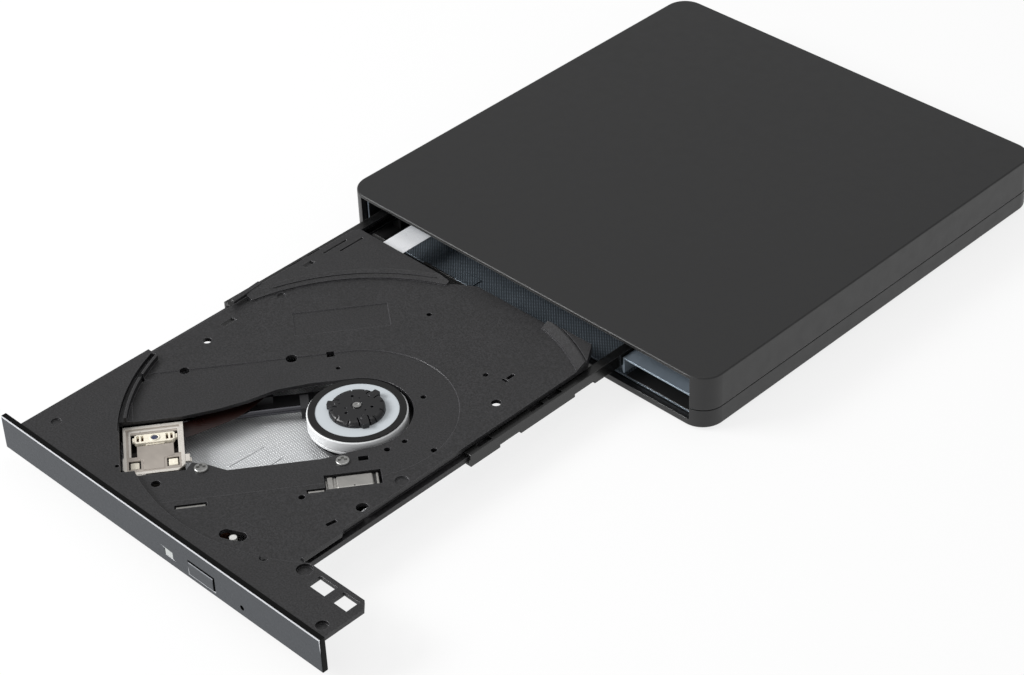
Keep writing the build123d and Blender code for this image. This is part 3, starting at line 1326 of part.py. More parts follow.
def latch_pivot():
    """The pin that the latch lever turns on, hung from the deck."""
    y = BEZEL_FRONT + LATCH_BACK
    pin = post(LATCH_PIVOT_RADIUS, LATCH_BOTTOM - 0.4, FLOOR_UNDER, LATCH_X, y)
    return pin + post(2.0, LATCH_BOTTOM + LATCH_THICK + 1.2, FLOOR_UNDER, LATCH_X, y)


def solenoid():
    """The small coil that releases the latch."""
    z = SHIELD_TOP + 2.3
    y = BEZEL_FRONT + 12.0
    coil = Pos(10.0, y, z) * Rot(0, 90, 0) * Cylinder(2.1, 7.0)
    core = Pos(13.8, y, z) * Rot(0, 90, 0) * Cylinder(0.7, 3.0)
    frame = block(6.2, 13.8, y - 2.3, y + 2.3, z + 2.0, FLOOR_UNDER)
    return coil + core + frame


def tray_socket():
    """The socket under the tray's rear corner that the ribbon goes into."""
    high = FLOOR_UNDER - 0.25
    end = BEZEL_FRONT + TRAY_REAR_LEFT - 6
    half = RIBBON_WIDTH / 2 + 1
    z0 = high - 1.6
    body = block(RIBBON_CENTRE - half, RIBBON_CENTRE + half, end - 3, end + 1.5, z0, FLOOR_UNDER)
    slot = RIBBON_WIDTH / 2 + 0.1
    mid = high - 1.0
    return body - block(RIBBON_CENTRE - slot, RIBBON_CENTRE + slot, end - 0.5, end + 3, mid - 0.2, mid + 0.2)


NODES = {
    "top_cover": top_cover,
    "bottom_cover": bottom_cover,
    "rubber_feet": rubber_feet,
    "case_screws": case_screws,
    "bridge_board": bridge_board,
    "bridge_chips": bridge_chips,
    "usb_socket": usb_socket,
    "bridge_plug": bridge_plug,
    "drive_socket": drive_socket,
    "drive_pan": drive_pan,
    "drive_lid": drive_lid,
    "foam_strips": foam_strips,
    "guide_left": lambda: guide(RAIL_LEFT_X, RAIL_LEFT_TOP, -1),
    "guide_right": lambda: guide(RAIL_RIGHT_X, RAIL_RIGHT_TOP, 1),
    "drive_board": drive_board,
    "ribbon_board": ribbon_board,
    "ribbon_socket": ribbon_socket,
    "ribbon_cable": ribbon_cable,
    "latch_keeper": latch_keeper,
    "rail_left": lambda: rail(RAIL_LEFT_X, RAIL_LEFT_TOP, -1),
    "rail_right": lambda: rail(RAIL_RIGHT_X, RAIL_RIGHT_TOP, 1),
    "tray_frame": tray_frame,
    "bezel": bezel,
    "eject_button": eject_button,
    "light_guide": light_guide,
    "tray_board": tray_board,
    "eject_switch": eject_switch,
    "indicator": indicator,
    "shield": shield,
    "traverse_frame": traverse_frame,
    "dampers": dampers,
    "guide_rods": guide_rods,
    "tray_screws": tray_screws,
    "spindle_stator": spindle_stator,
    "rotor_cup": rotor_cup,
    "turntable": turntable,
    "turntable_ring": turntable_ring,
    "clamp_hub": clamp_hub,
    "hub_screw": hub_screw,
    "sled_motor": sled_motor,
    "motor_bracket": motor_bracket,
    "lead_screw": lead_screw,
    "pickup_base": pickup_base,
    "pickup_cover": pickup_cover,
    "lens_holder": lens_holder,
    "lens": lens,
    "pickup_flex": pickup_flex,
    "latch_arm": latch_arm,
    "latch_pivot": latch_pivot,
    "solenoid": solenoid,
    "tray_socket": tray_socket,
}


def main():
    os.makedirs("parts", exist_ok=True)
    for name, make in NODES.items():
        export_step(make(), f"parts/{name}.step")


main()
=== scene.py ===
# %% [markdown]
# # A slim disc drive with its tray out
# The drive is a flat square case with a tray that runs out on two steel rails. Its fixed sizes and
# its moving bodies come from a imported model, so this lesson loads that model first. Everything that
# follows dresses it: finishes for the plastics and metals, soft light, and the pieces that are
# easier to shape in a mesh than in a solid modeller. The scene is in metres. The pieces are drawn
# in millimetres and scaled when they are done.

# %% Load the model
import bmesh
import bpy
import json
import math
from mathutils import Matrix, Vector


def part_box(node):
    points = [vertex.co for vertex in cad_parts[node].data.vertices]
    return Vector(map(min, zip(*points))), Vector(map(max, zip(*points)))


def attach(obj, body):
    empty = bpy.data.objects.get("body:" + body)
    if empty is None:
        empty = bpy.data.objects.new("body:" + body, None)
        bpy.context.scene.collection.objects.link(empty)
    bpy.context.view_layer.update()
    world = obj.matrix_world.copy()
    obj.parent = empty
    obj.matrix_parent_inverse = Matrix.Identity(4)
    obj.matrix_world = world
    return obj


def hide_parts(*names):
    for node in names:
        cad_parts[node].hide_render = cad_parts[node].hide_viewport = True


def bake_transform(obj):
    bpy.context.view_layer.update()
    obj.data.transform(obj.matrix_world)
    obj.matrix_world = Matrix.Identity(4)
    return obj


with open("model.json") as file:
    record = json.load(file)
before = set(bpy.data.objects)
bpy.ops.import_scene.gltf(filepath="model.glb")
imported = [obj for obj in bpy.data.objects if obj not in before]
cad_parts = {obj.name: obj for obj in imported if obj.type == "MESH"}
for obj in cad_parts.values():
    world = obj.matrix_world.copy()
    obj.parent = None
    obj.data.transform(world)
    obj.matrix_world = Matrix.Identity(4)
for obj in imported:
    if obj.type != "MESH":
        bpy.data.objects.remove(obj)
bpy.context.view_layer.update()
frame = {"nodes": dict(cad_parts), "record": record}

MM = 0.001
scene = bpy.context.scene
nodes = frame["nodes"]

# %% [markdown]
# ## Camera
# The drive is seen from above its front right corner through a long lens, so its edges stay almost
# parallel. A long lens far away does this; a short lens close by would splay the case's corners.

# %% Camera
IMAGE_WIDTH = 1024
FOCAL_PIXELS = 2584.0
SENSOR_WIDTH = 36.0
CAMERA_AT = (0.422967, -0.487341, 0.447475)
CAMERA_TURN = (
    (0.712908, -0.406437, 0.571465),
    (0.700467, 0.451410, -0.552788),
    (-0.033291, 0.794379, 0.606509),
)
camera_data = bpy.data.cameras.new("camera")
camera_data.sensor_width = SENSOR_WIDTH
camera_data.lens = FOCAL_PIXELS * SENSOR_WIDTH / IMAGE_WIDTH
camera_data.clip_start = 0.01
camera = bpy.data.objects.new("camera", camera_data)
scene.collection.objects.link(camera)
camera.matrix_world = Matrix.Translation(CAMERA_AT) @ Matrix(CAMERA_TURN).to_4x4()
scene.camera = camera
print("lens", round(camera_data.lens, 1), "mm")

# %% [markdown]
# ## Floor
# A product photograph stands on white paper. A wide pale sheet gives that. Its material shows the
# camera and the glossy reflections a clean white, and still takes the drive's soft shadow, because
# only part of what the camera sees is the white glow.

# %% Floor
FLOOR_Z = -0.8 * MM
FLOOR_HALF = 3.0
PAPER_WHITE = (0.9, 0.9, 0.9, 1)
GLOW_SHARE = 0.8
mesh = bpy.data.meshes.new("floor")
bm = bmesh.new()
bmesh.ops.create_grid(bm, x_segments=1, y_segments=1, size=FLOOR_HALF)
bmesh.ops.translate(bm, verts=bm.verts, vec=(0, 0, FLOOR_Z))
bm.to_mesh(mesh)
bm.free()
floor = bpy.data.objects.new("floor", mesh)
scene.collection.objects.link(floor)

paper = bpy.data.materials.new("white_paper")
paper.use_nodes = True
tree = paper.node_tree
tree.nodes.clear()
sheet = tree.nodes.new("ShaderNodeBsdfDiffuse")
sheet.inputs["Color"].default_value = PAPER_WHITE
glow = tree.nodes.new("ShaderNodeEmission")
glow.inputs["Strength"].default_value = 1.0
path = tree.nodes.new("ShaderNodeLightPath")
share = tree.nodes.new("ShaderNodeMath")
share.operation = "MAXIMUM"
tree.links.new(path.outputs["Is Camera Ray"], share.inputs[0])
tree.links.new(path.outputs["Is Glossy Ray"], share.inputs[1])
limited = tree.nodes.new("ShaderNodeMath")
limited.operation = "MULTIPLY"
limited.inputs[1].default_value = GLOW_SHARE
tree.links.new(share.outputs[0], limited.inputs[0])
mix = tree.nodes.new("ShaderNodeMixShader")
tree.links.new(limited.outputs[0], mix.inputs[0])
tree.links.new(sheet.outputs[0], mix.inputs[1])
tree.links.new(glow.outputs[0], mix.inputs[2])
out = tree.nodes.new("ShaderNodeOutputMaterial")
tree.links.new(mix.outputs[0], out.inputs["Surface"])
mesh.materials.append(paper)
print("floor at", FLOOR_Z)

# %% [markdown]
# ## Light
# A light tent suits dark plastic: an even pale surround that every face mirrors a little. One
# bright soft lamp at the left front adds the thin glints along the rounded edges that face both it
# and the camera, which the finishes strengthen with a painted highlight. Two weak lamps, overhead
# and low in front, give the recesses some shape.

# %% Light
SURROUND = 0.5
world = bpy.data.worlds.new("surround")
world.use_nodes = True
world.node_tree.nodes["Background"].inputs["Color"].default_value = (1, 1, 1, 1)
world.node_tree.nodes["Background"].inputs["Strength"].default_value = SURROUND
scene.world = world


def soft_lamp(name, place, target, width, height, watts):
    """A rectangular lamp that faces a point."""
    data = bpy.data.lights.new(name, "AREA")
    data.shape = "RECTANGLE"
    data.size = width
    data.size_y = height
    data.energy = watts
    lamp = bpy.data.objects.new(name, data)
    scene.collection.objects.link(lamp)
    aim = (Vector(target) - Vector(place)).to_track_quat("-Z", "Y")
    lamp.matrix_world = Matrix.Translation(place) @ aim.to_matrix().to_4x4()


soft_lamp("lamp_left", (-0.80, -0.90, 0.80), (0, -0.1, 0), width=0.70, height=0.50, watts=17.0)
soft_lamp("lamp_over", (-0.1, 0.2, 1.1), (0, -0.05, 0), width=0.8, height=0.8, watts=1.5)
soft_lamp("lamp_front", (0.15, -1.1, 0.12), (0, 0, 0.01), width=0.6, height=0.2, watts=1.5)
scene.view_settings.view_transform = "Standard"

# %% [markdown]
# ## A kit for finishes
# Moulded plastic and sheet metal are never one even colour. Each finish here starts from one
# recipe: a slow mottle in the colour, a spread in the gloss, a fine grain that lifts the surface,
# and round edges with a painted highlight. The recipe's numbers change from finish to finish.

# %% Node helpers
ALL_FINISHES = {}
EDGE_TURNED = 0.75
EDGE_FLAT = 0.995


class Tree:
    """A material's node tree with short names for what is added to it."""

    def __init__(self, name):
        self.name = name
        self.material = bpy.data.materials.new(name + "_finish")
        self.material.use_nodes = True
        self.nodes = self.material.node_tree.nodes
        self.links = self.material.node_tree.links
        self.shader = self.nodes["Principled BSDF"]
        self.place = self.nodes.new("ShaderNodeTexCoord").outputs["Object"]

    def link(self, source, target):
        self.links.new(source, target)

    def mapped(self, turn=0.0, stretch=(1, 1, 1)):
        """Object coordinates, turned about the upright axis and stretched."""
        node = self.nodes.new("ShaderNodeMapping")
        node.inputs["Rotation"].default_value = (0, 0, turn)
        node.inputs["Scale"].default_value = stretch
        self.link(self.place, node.inputs["Vector"])
        return node.outputs["Vector"]

    def noise(self, scale, detail=3.0, vector=None):
        """Cloudy noise between 0 and 1; the scale is its features to a metre."""
        node = self.nodes.new("ShaderNodeTexNoise")
        node.inputs["Scale"].default_value = scale
        node.inputs["Detail"].default_value = detail
        self.link(vector or self.place, node.inputs["Vector"])
        return node.outputs["Fac"]

    def math(self, operation, first, second=None):
        """One sum on a value."""
        node = self.nodes.new("ShaderNodeMath")
        node.operation = operation
        for socket, value in zip(node.inputs, (first, second)):
            if value is None:
                continue
            if isinstance(value, (int, float)):
                socket.default_value = value
            else:
                self.link(value, socket)
        return node.outputs[0]

    def spread(self, value, low, high, start=0.3, end=0.7):
        """A value stretched onto a range."""
        node = self.nodes.new("ShaderNodeMapRange")
        node.inputs["From Min"].default_value = start
        node.inputs["From Max"].default_value = end
        node.inputs["To Min"].default_value = low
        node.inputs["To Max"].default_value = high
        self.link(value, node.inputs["Value"])
        return node.outputs["Result"]

    def blend(self, share, first, second):
        """Two colours mixed by a value; a colour is three numbers or a socket."""
        node = self.nodes.new("ShaderNodeMix")
        node.data_type = "RGBA"
        self.link(share, node.inputs["Factor"])
        colour_in = [s for s in node.inputs if s.type == "RGBA"]
        for socket, value in zip(colour_in, (first, second)):
            if isinstance(value, tuple):
                socket.default_value = (*value, 1)
            else:
                self.link(value, socket)
        return [s for s in node.outputs if s.type == "RGBA"][0]

    def rounded(self, radius):
        """The surface direction with its edges rounded off."""
        node = self.nodes.new("ShaderNodeBevel")
        node.samples = 4
        node.inputs["Radius"].default_value = radius
        return node.outputs["Normal"]

    def edge_mask(self, rounded_normal):
        """1 along sharp edges and 0 on flat faces."""
        geometry = self.nodes.new("ShaderNodeNewGeometry")
        node = self.nodes.new("ShaderNodeVectorMath")
        node.operation = "DOT_PRODUCT"
        self.link(rounded_normal, node.inputs[0])
        self.link(geometry.outputs["Normal"], node.inputs[1])
        return self.spread(node.outputs["Value"], 1.0, 0.0, EDGE_TURNED, EDGE_FLAT)

    def bump(self, height, distance, normal=None):
        """A raised grain."""
        node = self.nodes.new("ShaderNodeBump")
        node.inputs["Strength"].default_value = 1.0
        node.inputs["Distance"].default_value = distance
        self.link(height, node.inputs["Height"])
        if normal:
            self.link(normal, node.inputs["Normal"])
        return node.outputs["Normal"]

    def finish(self, colour, rough, normal):
        """Connects colour, gloss and grain to the shader, and keeps the finish by its name."""
        self.link(colour, self.shader.inputs["Base Color"])
        self.link(rough, self.shader.inputs["Roughness"])
        self.link(normal, self.shader.inputs["Normal"])
        ALL_FINISHES[self.name] = self.material
        return self.material


def shade(colour, factor):
    """A colour made lighter or darker."""
    return tuple(min(1.0, c * factor) for c in colour)


print("helpers ready")

# %% [markdown]
# ## Moulded plastic
# The case, the tray and the small black mouldings are dark plastic that was textured in the mould.
# Such plastic is almost black, and what is seen is its soft gloss. The grain is a fine noise used
# as a bump. The pale rim of each edge is a painted highlight: where the rounded surface direction
# parts from the flat one, the colour is made lighter and the gloss sharper.

# %% Plastics
PLASTIC_CLOUDS = 70.0
GLOSS_CLOUDS = 240.0


def moulded(name, colour, rough, grain=0.4, lift=0.006, mottle=0.1, edge=0.2, rim=2.0, shine=0.5,
            speck=0.1):
    """A moulding: grain, lift and edge are in mm; rim paints a highlight on edges, speck varies
    grain.
    """
    t = Tree(name)
    slow = t.noise(PLASTIC_CLOUDS, 4.0)
    fine = t.noise(1000.0 / grain, 2.0)
    broad = t.blend(t.spread(slow, 0, 1), shade(colour, 1 - mottle), shade(colour, 1 + mottle))
    flecks = t.blend(t.spread(fine, 0, 1, 0.35, 0.7),
                     shade(colour, 1 - speck), shade(colour, 1 + 2 * speck))
    base = t.blend(t.spread(slow, 0.5, 0.9, 0.2, 0.8), broad, flecks)
    soft = t.rounded(edge * MM)
    edge_glint = t.edge_mask(soft)
    # Edges take a colour rim times lighter: a painted highlight for the glint of a rounded edge.
    tinted = t.blend(edge_glint, base, shade(colour, rim))
    gloss = t.spread(t.noise(GLOSS_CLOUDS, 3.0), rough - 0.03, rough + 0.04)
    polished = t.math("MULTIPLY", gloss, t.spread(edge_glint, 1.0, 0.55, 0.0, 1.0))
    normal = t.bump(fine, lift * MM, soft)
    t.shader.inputs["Specular IOR Level"].default_value = shine
    return t.finish(tinted, polished, normal)


# Each rim below sets the strength of the painted highlight along that finish's edges.
moulded("case_plastic", (0.0088, 0.0089, 0.0093), 0.40, grain=0.22, lift=0.0015, mottle=0.04,
        edge=0.35, rim=2.5, speck=0.05)
moulded("tray_plastic", (0.0125, 0.0122, 0.0132), 0.44, grain=0.45, lift=0.03, mottle=0.3,
        edge=0.25, rim=9.0, speck=0.75)
moulded("rail_steel", (0.006, 0.006, 0.006), 0.24, grain=0.5, lift=0.001, edge=0.25, rim=14.0)
moulded("guide_plastic", (0.006, 0.006, 0.006), 0.34, rim=4.0)
moulded("chip_plastic", (0.010, 0.010, 0.011), 0.45, grain=0.2, lift=0.003)
moulded("connector_plastic", (0.012, 0.012, 0.012), 0.40, grain=0.3)
moulded("hub_plastic", (0.006, 0.006, 0.007), 0.32, grain=0.3, lift=0.003, rim=8.0)
moulded("latch_plastic", (0.62, 0.62, 0.6), 0.4, rim=1.05)
moulded("lens_plastic", (0.85, 0.79, 0.66), 0.38, grain=0.3, lift=0.002, rim=1.15)
moulded("clear_plastic", (0.42, 0.44, 0.43), 0.25, grain=0.3, lift=0.001, rim=1.2)
moulded("foot_rubber", (0.008, 0.008, 0.008), 0.7, grain=0.5, lift=0.015, rim=2.0, shine=0.3)
moulded("foam", (0.02, 0.02, 0.02), 0.9, grain=0.6, lift=0.08, shine=0.2)
moulded("rotor_paint", (0.80, 0.81, 0.82), 0.3, grain=0.5, lift=0.001, mottle=0.02,
        rim=1.1, speck=0.0)
moulded("turntable_plate", (0.54, 0.58, 0.61), 0.34, grain=0.5, lift=0.001, mottle=0.02,
        rim=1.2, speck=0.0)
print(len(ALL_FINISHES), "finishes")

# %% [markdown]
# ## Painted front
# The bezel and its button are bare glossy black plastic with a metallic grey lacquer sprayed on the
# front face only. The surface direction tells the front from the rest, so one finish serves both,
# and it also finds the round between front and top, which it colours as a bright painted highlight.

# %% Painted front
FLAKES = 1500.0


def painted_front(name, paint, bare, line):
    """Grey lacquer on faces towards -Y, a painted highlight on the round above, bare elsewhere."""
    t = Tree(name)
    way = t.nodes.new("ShaderNodeSeparateXYZ")
    geometry = t.nodes.new("ShaderNodeNewGeometry")
    t.link(geometry.outputs["Normal"], way.inputs[0])
    front = t.spread(way.outputs["Y"], 1.0, 0.0, -0.9, -0.6)
    flakes = t.spread(t.noise(FLAKES, 1.0), 0, 1, 0.3, 0.7)
    coat = t.blend(flakes, shade(paint, 0.97), shade(paint, 1.03))
    # Where the surface turns from the front to the top, the line colour is a painted highlight.
    turned = t.math("MINIMUM", t.math("MULTIPLY", way.outputs["Y"], -1.0), way.outputs["Z"])
    edge_glint = t.spread(turned, 0.0, 1.0, 0.12, 0.3)
    base = t.blend(front, bare, coat)
    tinted = t.blend(edge_glint, base, line)
    gloss = t.spread(t.noise(GLOSS_CLOUDS, 3.0), 0.24, 0.30)
    t.shader.inputs["Specular IOR Level"].default_value = 0.08
    normal = t.bump(t.noise(FLAKES, 2.0), 0.0004 * MM)
    return t.finish(tinted, gloss, normal)


# The third colour of each is its painted highlight on the round above the front.
painted_front("bezel_plastic", (0.054, 0.058, 0.064), (0.003, 0.003, 0.003), (0.50, 0.51, 0.53))
painted_front("button_plastic", (0.060, 0.064, 0.070), (0.003, 0.003, 0.003), (0.26, 0.27, 0.29))
print(len(ALL_FINISHES), "finishes")

# %% [markdown]
# ## Metals
# Rolled steel has fine scratches along one direction, so its noise is stretched along that
# direction. Turned and plated pieces get the same recipe with shorter, fainter scratches.

# %% Metals


def scratched(name, colour, rough, turn=0.0, stretch=30.0, lift=0.0015, mottle=0.08, edge=0.06,
              metal=1.0):
    """A metal with fine scratches along a direction in the floor's plane."""
    t = Tree(name)
    run = t.mapped(turn, (1.0, stretch, stretch))
    lines = t.noise(180.0, 5.0, run)
    slow = t.noise(120.0, 3.0)
    base = t.blend(t.spread(slow, 0, 1), shade(colour, 1 - mottle), shade(colour, 1 + mottle))
    gloss = t.spread(lines, rough - 0.07, rough + 0.1)
    t.shader.inputs["Metallic"].default_value = metal
    normal = t.bump(lines, lift * MM, t.rounded(edge * MM))
    return t.finish(base, gloss, normal)


SLED_TURN = math.radians(232.8)
scratched("screw_steel", (0.42, 0.42, 0.41), 0.3)
scratched("connector_steel", (0.55, 0.55, 0.55), 0.28)
# Rod steel is coloured near black, a painted shade that sinks the guide rods into the dark under the
# tray.
scratched("rod_steel", (0.09, 0.09, 0.1), 0.22, turn=SLED_TURN)
scratched("motor_nickel", (0.44, 0.43, 0.41), 0.38, turn=SLED_TURN, stretch=12.0, mottle=0.14,
          edge=0.15)
scratched("pickup_nickel", (0.52, 0.47, 0.42), 0.36, turn=SLED_TURN, stretch=6.0, mottle=0.1,
          edge=0.15, metal=0.7)
# The cover's rim is the same nickel coloured lighter: a painted highlight for the glints on its
# pressed edges.
scratched("pickup_rim", (0.80, 0.76, 0.70), 0.3, turn=SLED_TURN, stretch=3.0, lift=0.0003,
          mottle=0.05, edge=0.15, metal=0.5)
scratched("pickup_alloy", (0.02, 0.018, 0.016), 0.5, turn=SLED_TURN, stretch=3.0, lift=0.01)
scratched("frame_steel", (0.03, 0.03, 0.032), 0.42, turn=SLED_TURN, metal=0.4)
scratched("copper_core", (0.07, 0.03, 0.018), 0.4, stretch=40.0, lift=0.01)
print(len(ALL_FINISHES), "finishes")

# %% [markdown]
# ## Dotted sheet
# The pan and the shield under the tray are thin sheet rolled with a field of tiny raised dots that
# stiffens them. Two crossed waves make such a field, because their product peaks in every other
# square. The pan's raised wing is plain, so the field stops at a height.

# %% Dotted sheet


def dotted(name, colour, rough, pitch, lift, turn=0.0, metal=1.0, dark=0.8, below=1.0):
    """Sheet with raised dots below a height, shade painted between them, highlight on cut edges; lift
    in mm.
    """
    t = Tree(name)
    grid = t.nodes.new("ShaderNodeSeparateXYZ")
    t.link(t.mapped(turn), grid.inputs[0])
    turns = 2 * math.pi / pitch
    across = t.math("SINE", t.math("MULTIPLY", grid.outputs["X"], turns))
    along = t.math("SINE", t.math("MULTIPLY", grid.outputs["Y"], turns))
    field = t.spread(t.math("MULTIPLY", across, along), 0, 1, 0.15, 0.75)
    dots = t.math("MAXIMUM", field, t.math("GREATER_THAN", grid.outputs["Z"], below))
    slow = t.noise(90.0, 4.0)
    base = t.blend(t.spread(slow, 0, 1), shade(colour, 0.88), shade(colour, 1.1))
    soft = t.rounded(0.15 * MM)
    # The sheet between the raised dots is coloured darker than the dots: painted shade and highlight
    # of the relief.
    dotted_base = t.blend(dots, shade(colour, dark), base)
    # Cut edges are coloured 2.2 times lighter: a painted highlight.
    tinted = t.blend(t.edge_mask(soft), dotted_base, shade(colour, 2.2))
    gloss = t.spread(t.noise(500.0, 3.0), rough - 0.05, rough + 0.08)
    t.shader.inputs["Metallic"].default_value = metal
    normal = t.bump(dots, lift * MM, soft)
    return t.finish(tinted, gloss, normal)


dotted("pan_steel", (0.26, 0.31, 0.36), 0.42, 1.0 * MM, 0.06, metal=0.5, dark=0.35, below=3.6 * MM)
dotted("shield_steel", (0.95, 0.97, 0.99), 0.34, 1.05 * MM, 0.10, turn=SLED_TURN, metal=0.45,
       dark=0.66)
print(len(ALL_FINISHES), "finishes")

# %% [markdown]
# ## Films, boards and glass
# The cables are thin film with rows of conductors under it. A wave across the strip shows them
# faintly. Circuit board is a green lacquer with copper tracks under it, and the lens is a dark
# blue-coated dome.

# %% Films, boards and glass


def film(name, colour, stripe, pitch, turn, rough=0.3):
    """A flat cable's film with conductors a pitch apart."""
    t = Tree(name)
    split = t.nodes.new("ShaderNodeSeparateXYZ")
    t.link(t.mapped(turn), split.inputs[0])
    wave = t.math("SINE", t.math("MULTIPLY", split.outputs["X"], 2 * math.pi / pitch))
    lines = t.spread(wave, 0, 1, -0.4, 0.4)
    base = t.blend(lines, stripe, colour)
    gloss = t.spread(t.noise(300.0), rough - 0.05, rough + 0.08)
    return t.finish(base, gloss, t.bump(lines, 0.01 * MM))


def board_lacquer(name):
    """Green board with tracks that turn corners."""
    t = Tree(name)
    cells = t.nodes.new("ShaderNodeTexVoronoi")
    cells.distance = "CHEBYCHEV"
    cells.feature = "DISTANCE_TO_EDGE"
    cells.inputs["Scale"].default_value = 420.0
    t.link(t.place, cells.inputs["Vector"])
    tracks = t.spread(cells.outputs["Distance"], 0, 1, 0.03, 0.06)
    base = t.blend(tracks, (0.03, 0.12, 0.05), (0.012, 0.05, 0.022))
    gloss = t.spread(t.noise(300.0), 0.25, 0.4)
    return t.finish(base, gloss, t.bump(tracks, 0.02 * MM))


def coated_glass(name):
    """A dark lens with a blue coating."""
    t = Tree(name)
    base = t.blend(t.noise(900.0), (0.01, 0.015, 0.05), (0.02, 0.03, 0.09))
    t.shader.inputs["Coat Weight"].default_value = 1.0
    t.shader.inputs["Coat Roughness"].default_value = 0.03
    gloss = t.spread(t.noise(400.0), 0.05, 0.09)
    return t.finish(base, gloss, t.bump(t.noise(300.0), 0.0005 * MM))


film("ribbon", (0.90, 0.91, 0.93), (0.82, 0.83, 0.85), 0.5 * MM, 0.0)
# The flex film's red-brown is darkened to near black: its own colour with a painted shade of the tray
# above it.
film("flex", (0.016, 0.004, 0.003), (0.008, 0.003, 0.002), 0.8 * MM, SLED_TURN)
board_lacquer("board")
coated_glass("lens_glass")
print(len(ALL_FINISHES), "finishes")

# %% [markdown]
# ## Dressing the solid nodes
# The record names a finish for every node, so one loop gives each node its own.

# %% Assign
for part in frame["record"]["subparts"]:
    solid = nodes[part["node"]]
    for slot in solid.material_slots:
        slot.material = ALL_FINISHES[part["material_slot"]]

# %% [markdown]
# ## A kit for pieces
# Solid modellers leave edges knife sharp, and small pressed or moulded pieces live from their
# rounded edges, which catch the light. The pieces below are made in millimetres from simple blanks
# that are cut, thickened and bevelled. The helpers do the repeated work: one turns a mesh into a
# finished piece that rides on a body, one gives edges above an angle a small round, and the rest
# add a block, a cut sheet or a spun profile to a mesh.

# %% Piece helpers
SPINDLE = Vector((4.5, -141.5, 0.0))
SLED = Matrix.Translation(SPINDLE) @ Matrix.Rotation(SLED_TURN, 4, "Z")
SMOOTH_BELOW = math.radians(35)
WELD = 0.0005


def settle(bm, name, body, finish, stands_for=(), place=None):
    """Turns a mesh in mm into a finished piece that rides on a body."""
    if place:
        bmesh.ops.transform(bm, matrix=place, verts=bm.verts)
    bmesh.ops.scale(bm, vec=(MM, MM, MM), verts=bm.verts)
    bmesh.ops.recalc_face_normals(bm, faces=bm.faces)
    loose = sum(not edge.is_manifold for edge in bm.edges)
    mesh = bpy.data.meshes.new(name)
    bm.to_mesh(mesh)
    bm.free()
    mesh.shade_smooth()
    mesh.set_sharp_from_angle(angle=SMOOTH_BELOW)
    mesh.materials.append(ALL_FINISHES[finish])
    piece = bpy.data.objects.new(name, mesh)
    scene.collection.objects.link(piece)
    evened = piece.modifiers.new("evened", "WEIGHTED_NORMAL")
    evened.keep_sharp = True
    if stands_for:
        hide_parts(*stands_for)
    if body:
        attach(piece, body)
    print(name, len(mesh.polygons), "faces", loose, "open edges")
    return piece


def round_edges(bm, width, angle=40, segments=2, chosen=None):
    """Bevels the edges whose faces meet at more than an angle."""
    sharp = []
    for edge in bm.edges:
        if len(edge.link_faces) == 2 and edge.calc_face_angle(0) > math.radians(angle):
            if chosen is None or chosen(edge):
                sharp.append(edge)
    bmesh.ops.bevel(bm, geom=sharp, offset=width, segments=segments, profile=0.5, affect="EDGES",
                    material=-1, clamp_overlap=True)


def merge(bm, other):
    """Adds another mesh to a mesh."""
    spare = bpy.data.meshes.new("spare")
    other.to_mesh(spare)
    other.free()
    bm.from_mesh(spare)
    bpy.data.meshes.remove(spare)


def slab(bm, x0, x1, y0, y1, z0, z1, width=0.1, segments=2):
    """Adds a block with rounded edges to a mesh."""
    box = bmesh.new()
    bmesh.ops.create_cube(box, size=1.0)
    bmesh.ops.scale(box, vec=(x1 - x0, y1 - y0, z1 - z0), verts=box.verts)
    bmesh.ops.translate(box, vec=((x0 + x1) / 2, (y0 + y1) / 2, (z0 + z1) / 2), verts=box.verts)
    round_edges(box, width, segments=segments)
    merge(bm, box)


def cut_sheet(bm, corners, windows, z0, z1, width=0.1):
    """Adds a flat blank with square windows, thickened and rounded along its top rim.

    A window is its two x values and its two y values.
    """
    sheet = bmesh.new()
    sheet.faces.new([sheet.verts.new((x, y, z0)) for x, y in corners])
    for x0, x1, y0, y1 in windows:
        cuts = (((x0, 0, 0), (1, 0, 0)), ((x1, 0, 0), (1, 0, 0)),
                ((0, y0, 0), (0, 1, 0)), ((0, y1, 0), (0, 1, 0)))
        for spot, way in cuts:
            everything = sheet.verts[:] + sheet.edges[:] + sheet.faces[:]
            bmesh.ops.bisect_plane(sheet, geom=everything, plane_co=spot, plane_no=way, dist=0.0001)
    gone = []
    for face in sheet.faces:
        centre = face.calc_center_median()
        if any(x0 < centre.x < x1 and y0 < centre.y < y1 for x0, x1, y0, y1 in windows):
            gone.append(face)
    bmesh.ops.delete(sheet, geom=gone, context="FACES")
    raised = bmesh.ops.extrude_face_region(sheet, geom=sheet.faces[:])
    up = [item for item in raised["geom"] if isinstance(item, bmesh.types.BMVert)]
    bmesh.ops.translate(sheet, vec=(0, 0, z1 - z0), verts=up)
    bmesh.ops.recalc_face_normals(sheet, faces=sheet.faces)
    round_edges(sheet, width, chosen=lambda e: all(abs(v.co.z - z1) < 1e-4 for v in e.verts))
    merge(bm, sheet)


def spun(bm, profile, centre, steps=40):
    """Adds a profile spun once round an upright axis; the profile is radius and height pairs."""
    ring = bmesh.new()
    verts = [ring.verts.new((r, 0, z)) for r, z in profile]
    for first, second in zip(verts, verts[1:]):
        ring.edges.new((first, second))
    bmesh.ops.spin(ring, geom=ring.verts[:] + ring.edges[:], cent=(0, 0, 0), axis=(0, 0, 1),
                   angle=2 * math.pi, steps=steps, use_merge=True)
    bmesh.ops.remove_doubles(ring, verts=ring.verts, dist=WELD)
    bmesh.ops.translate(ring, vec=(*centre, 0), verts=ring.verts)
    merge(bm, ring)


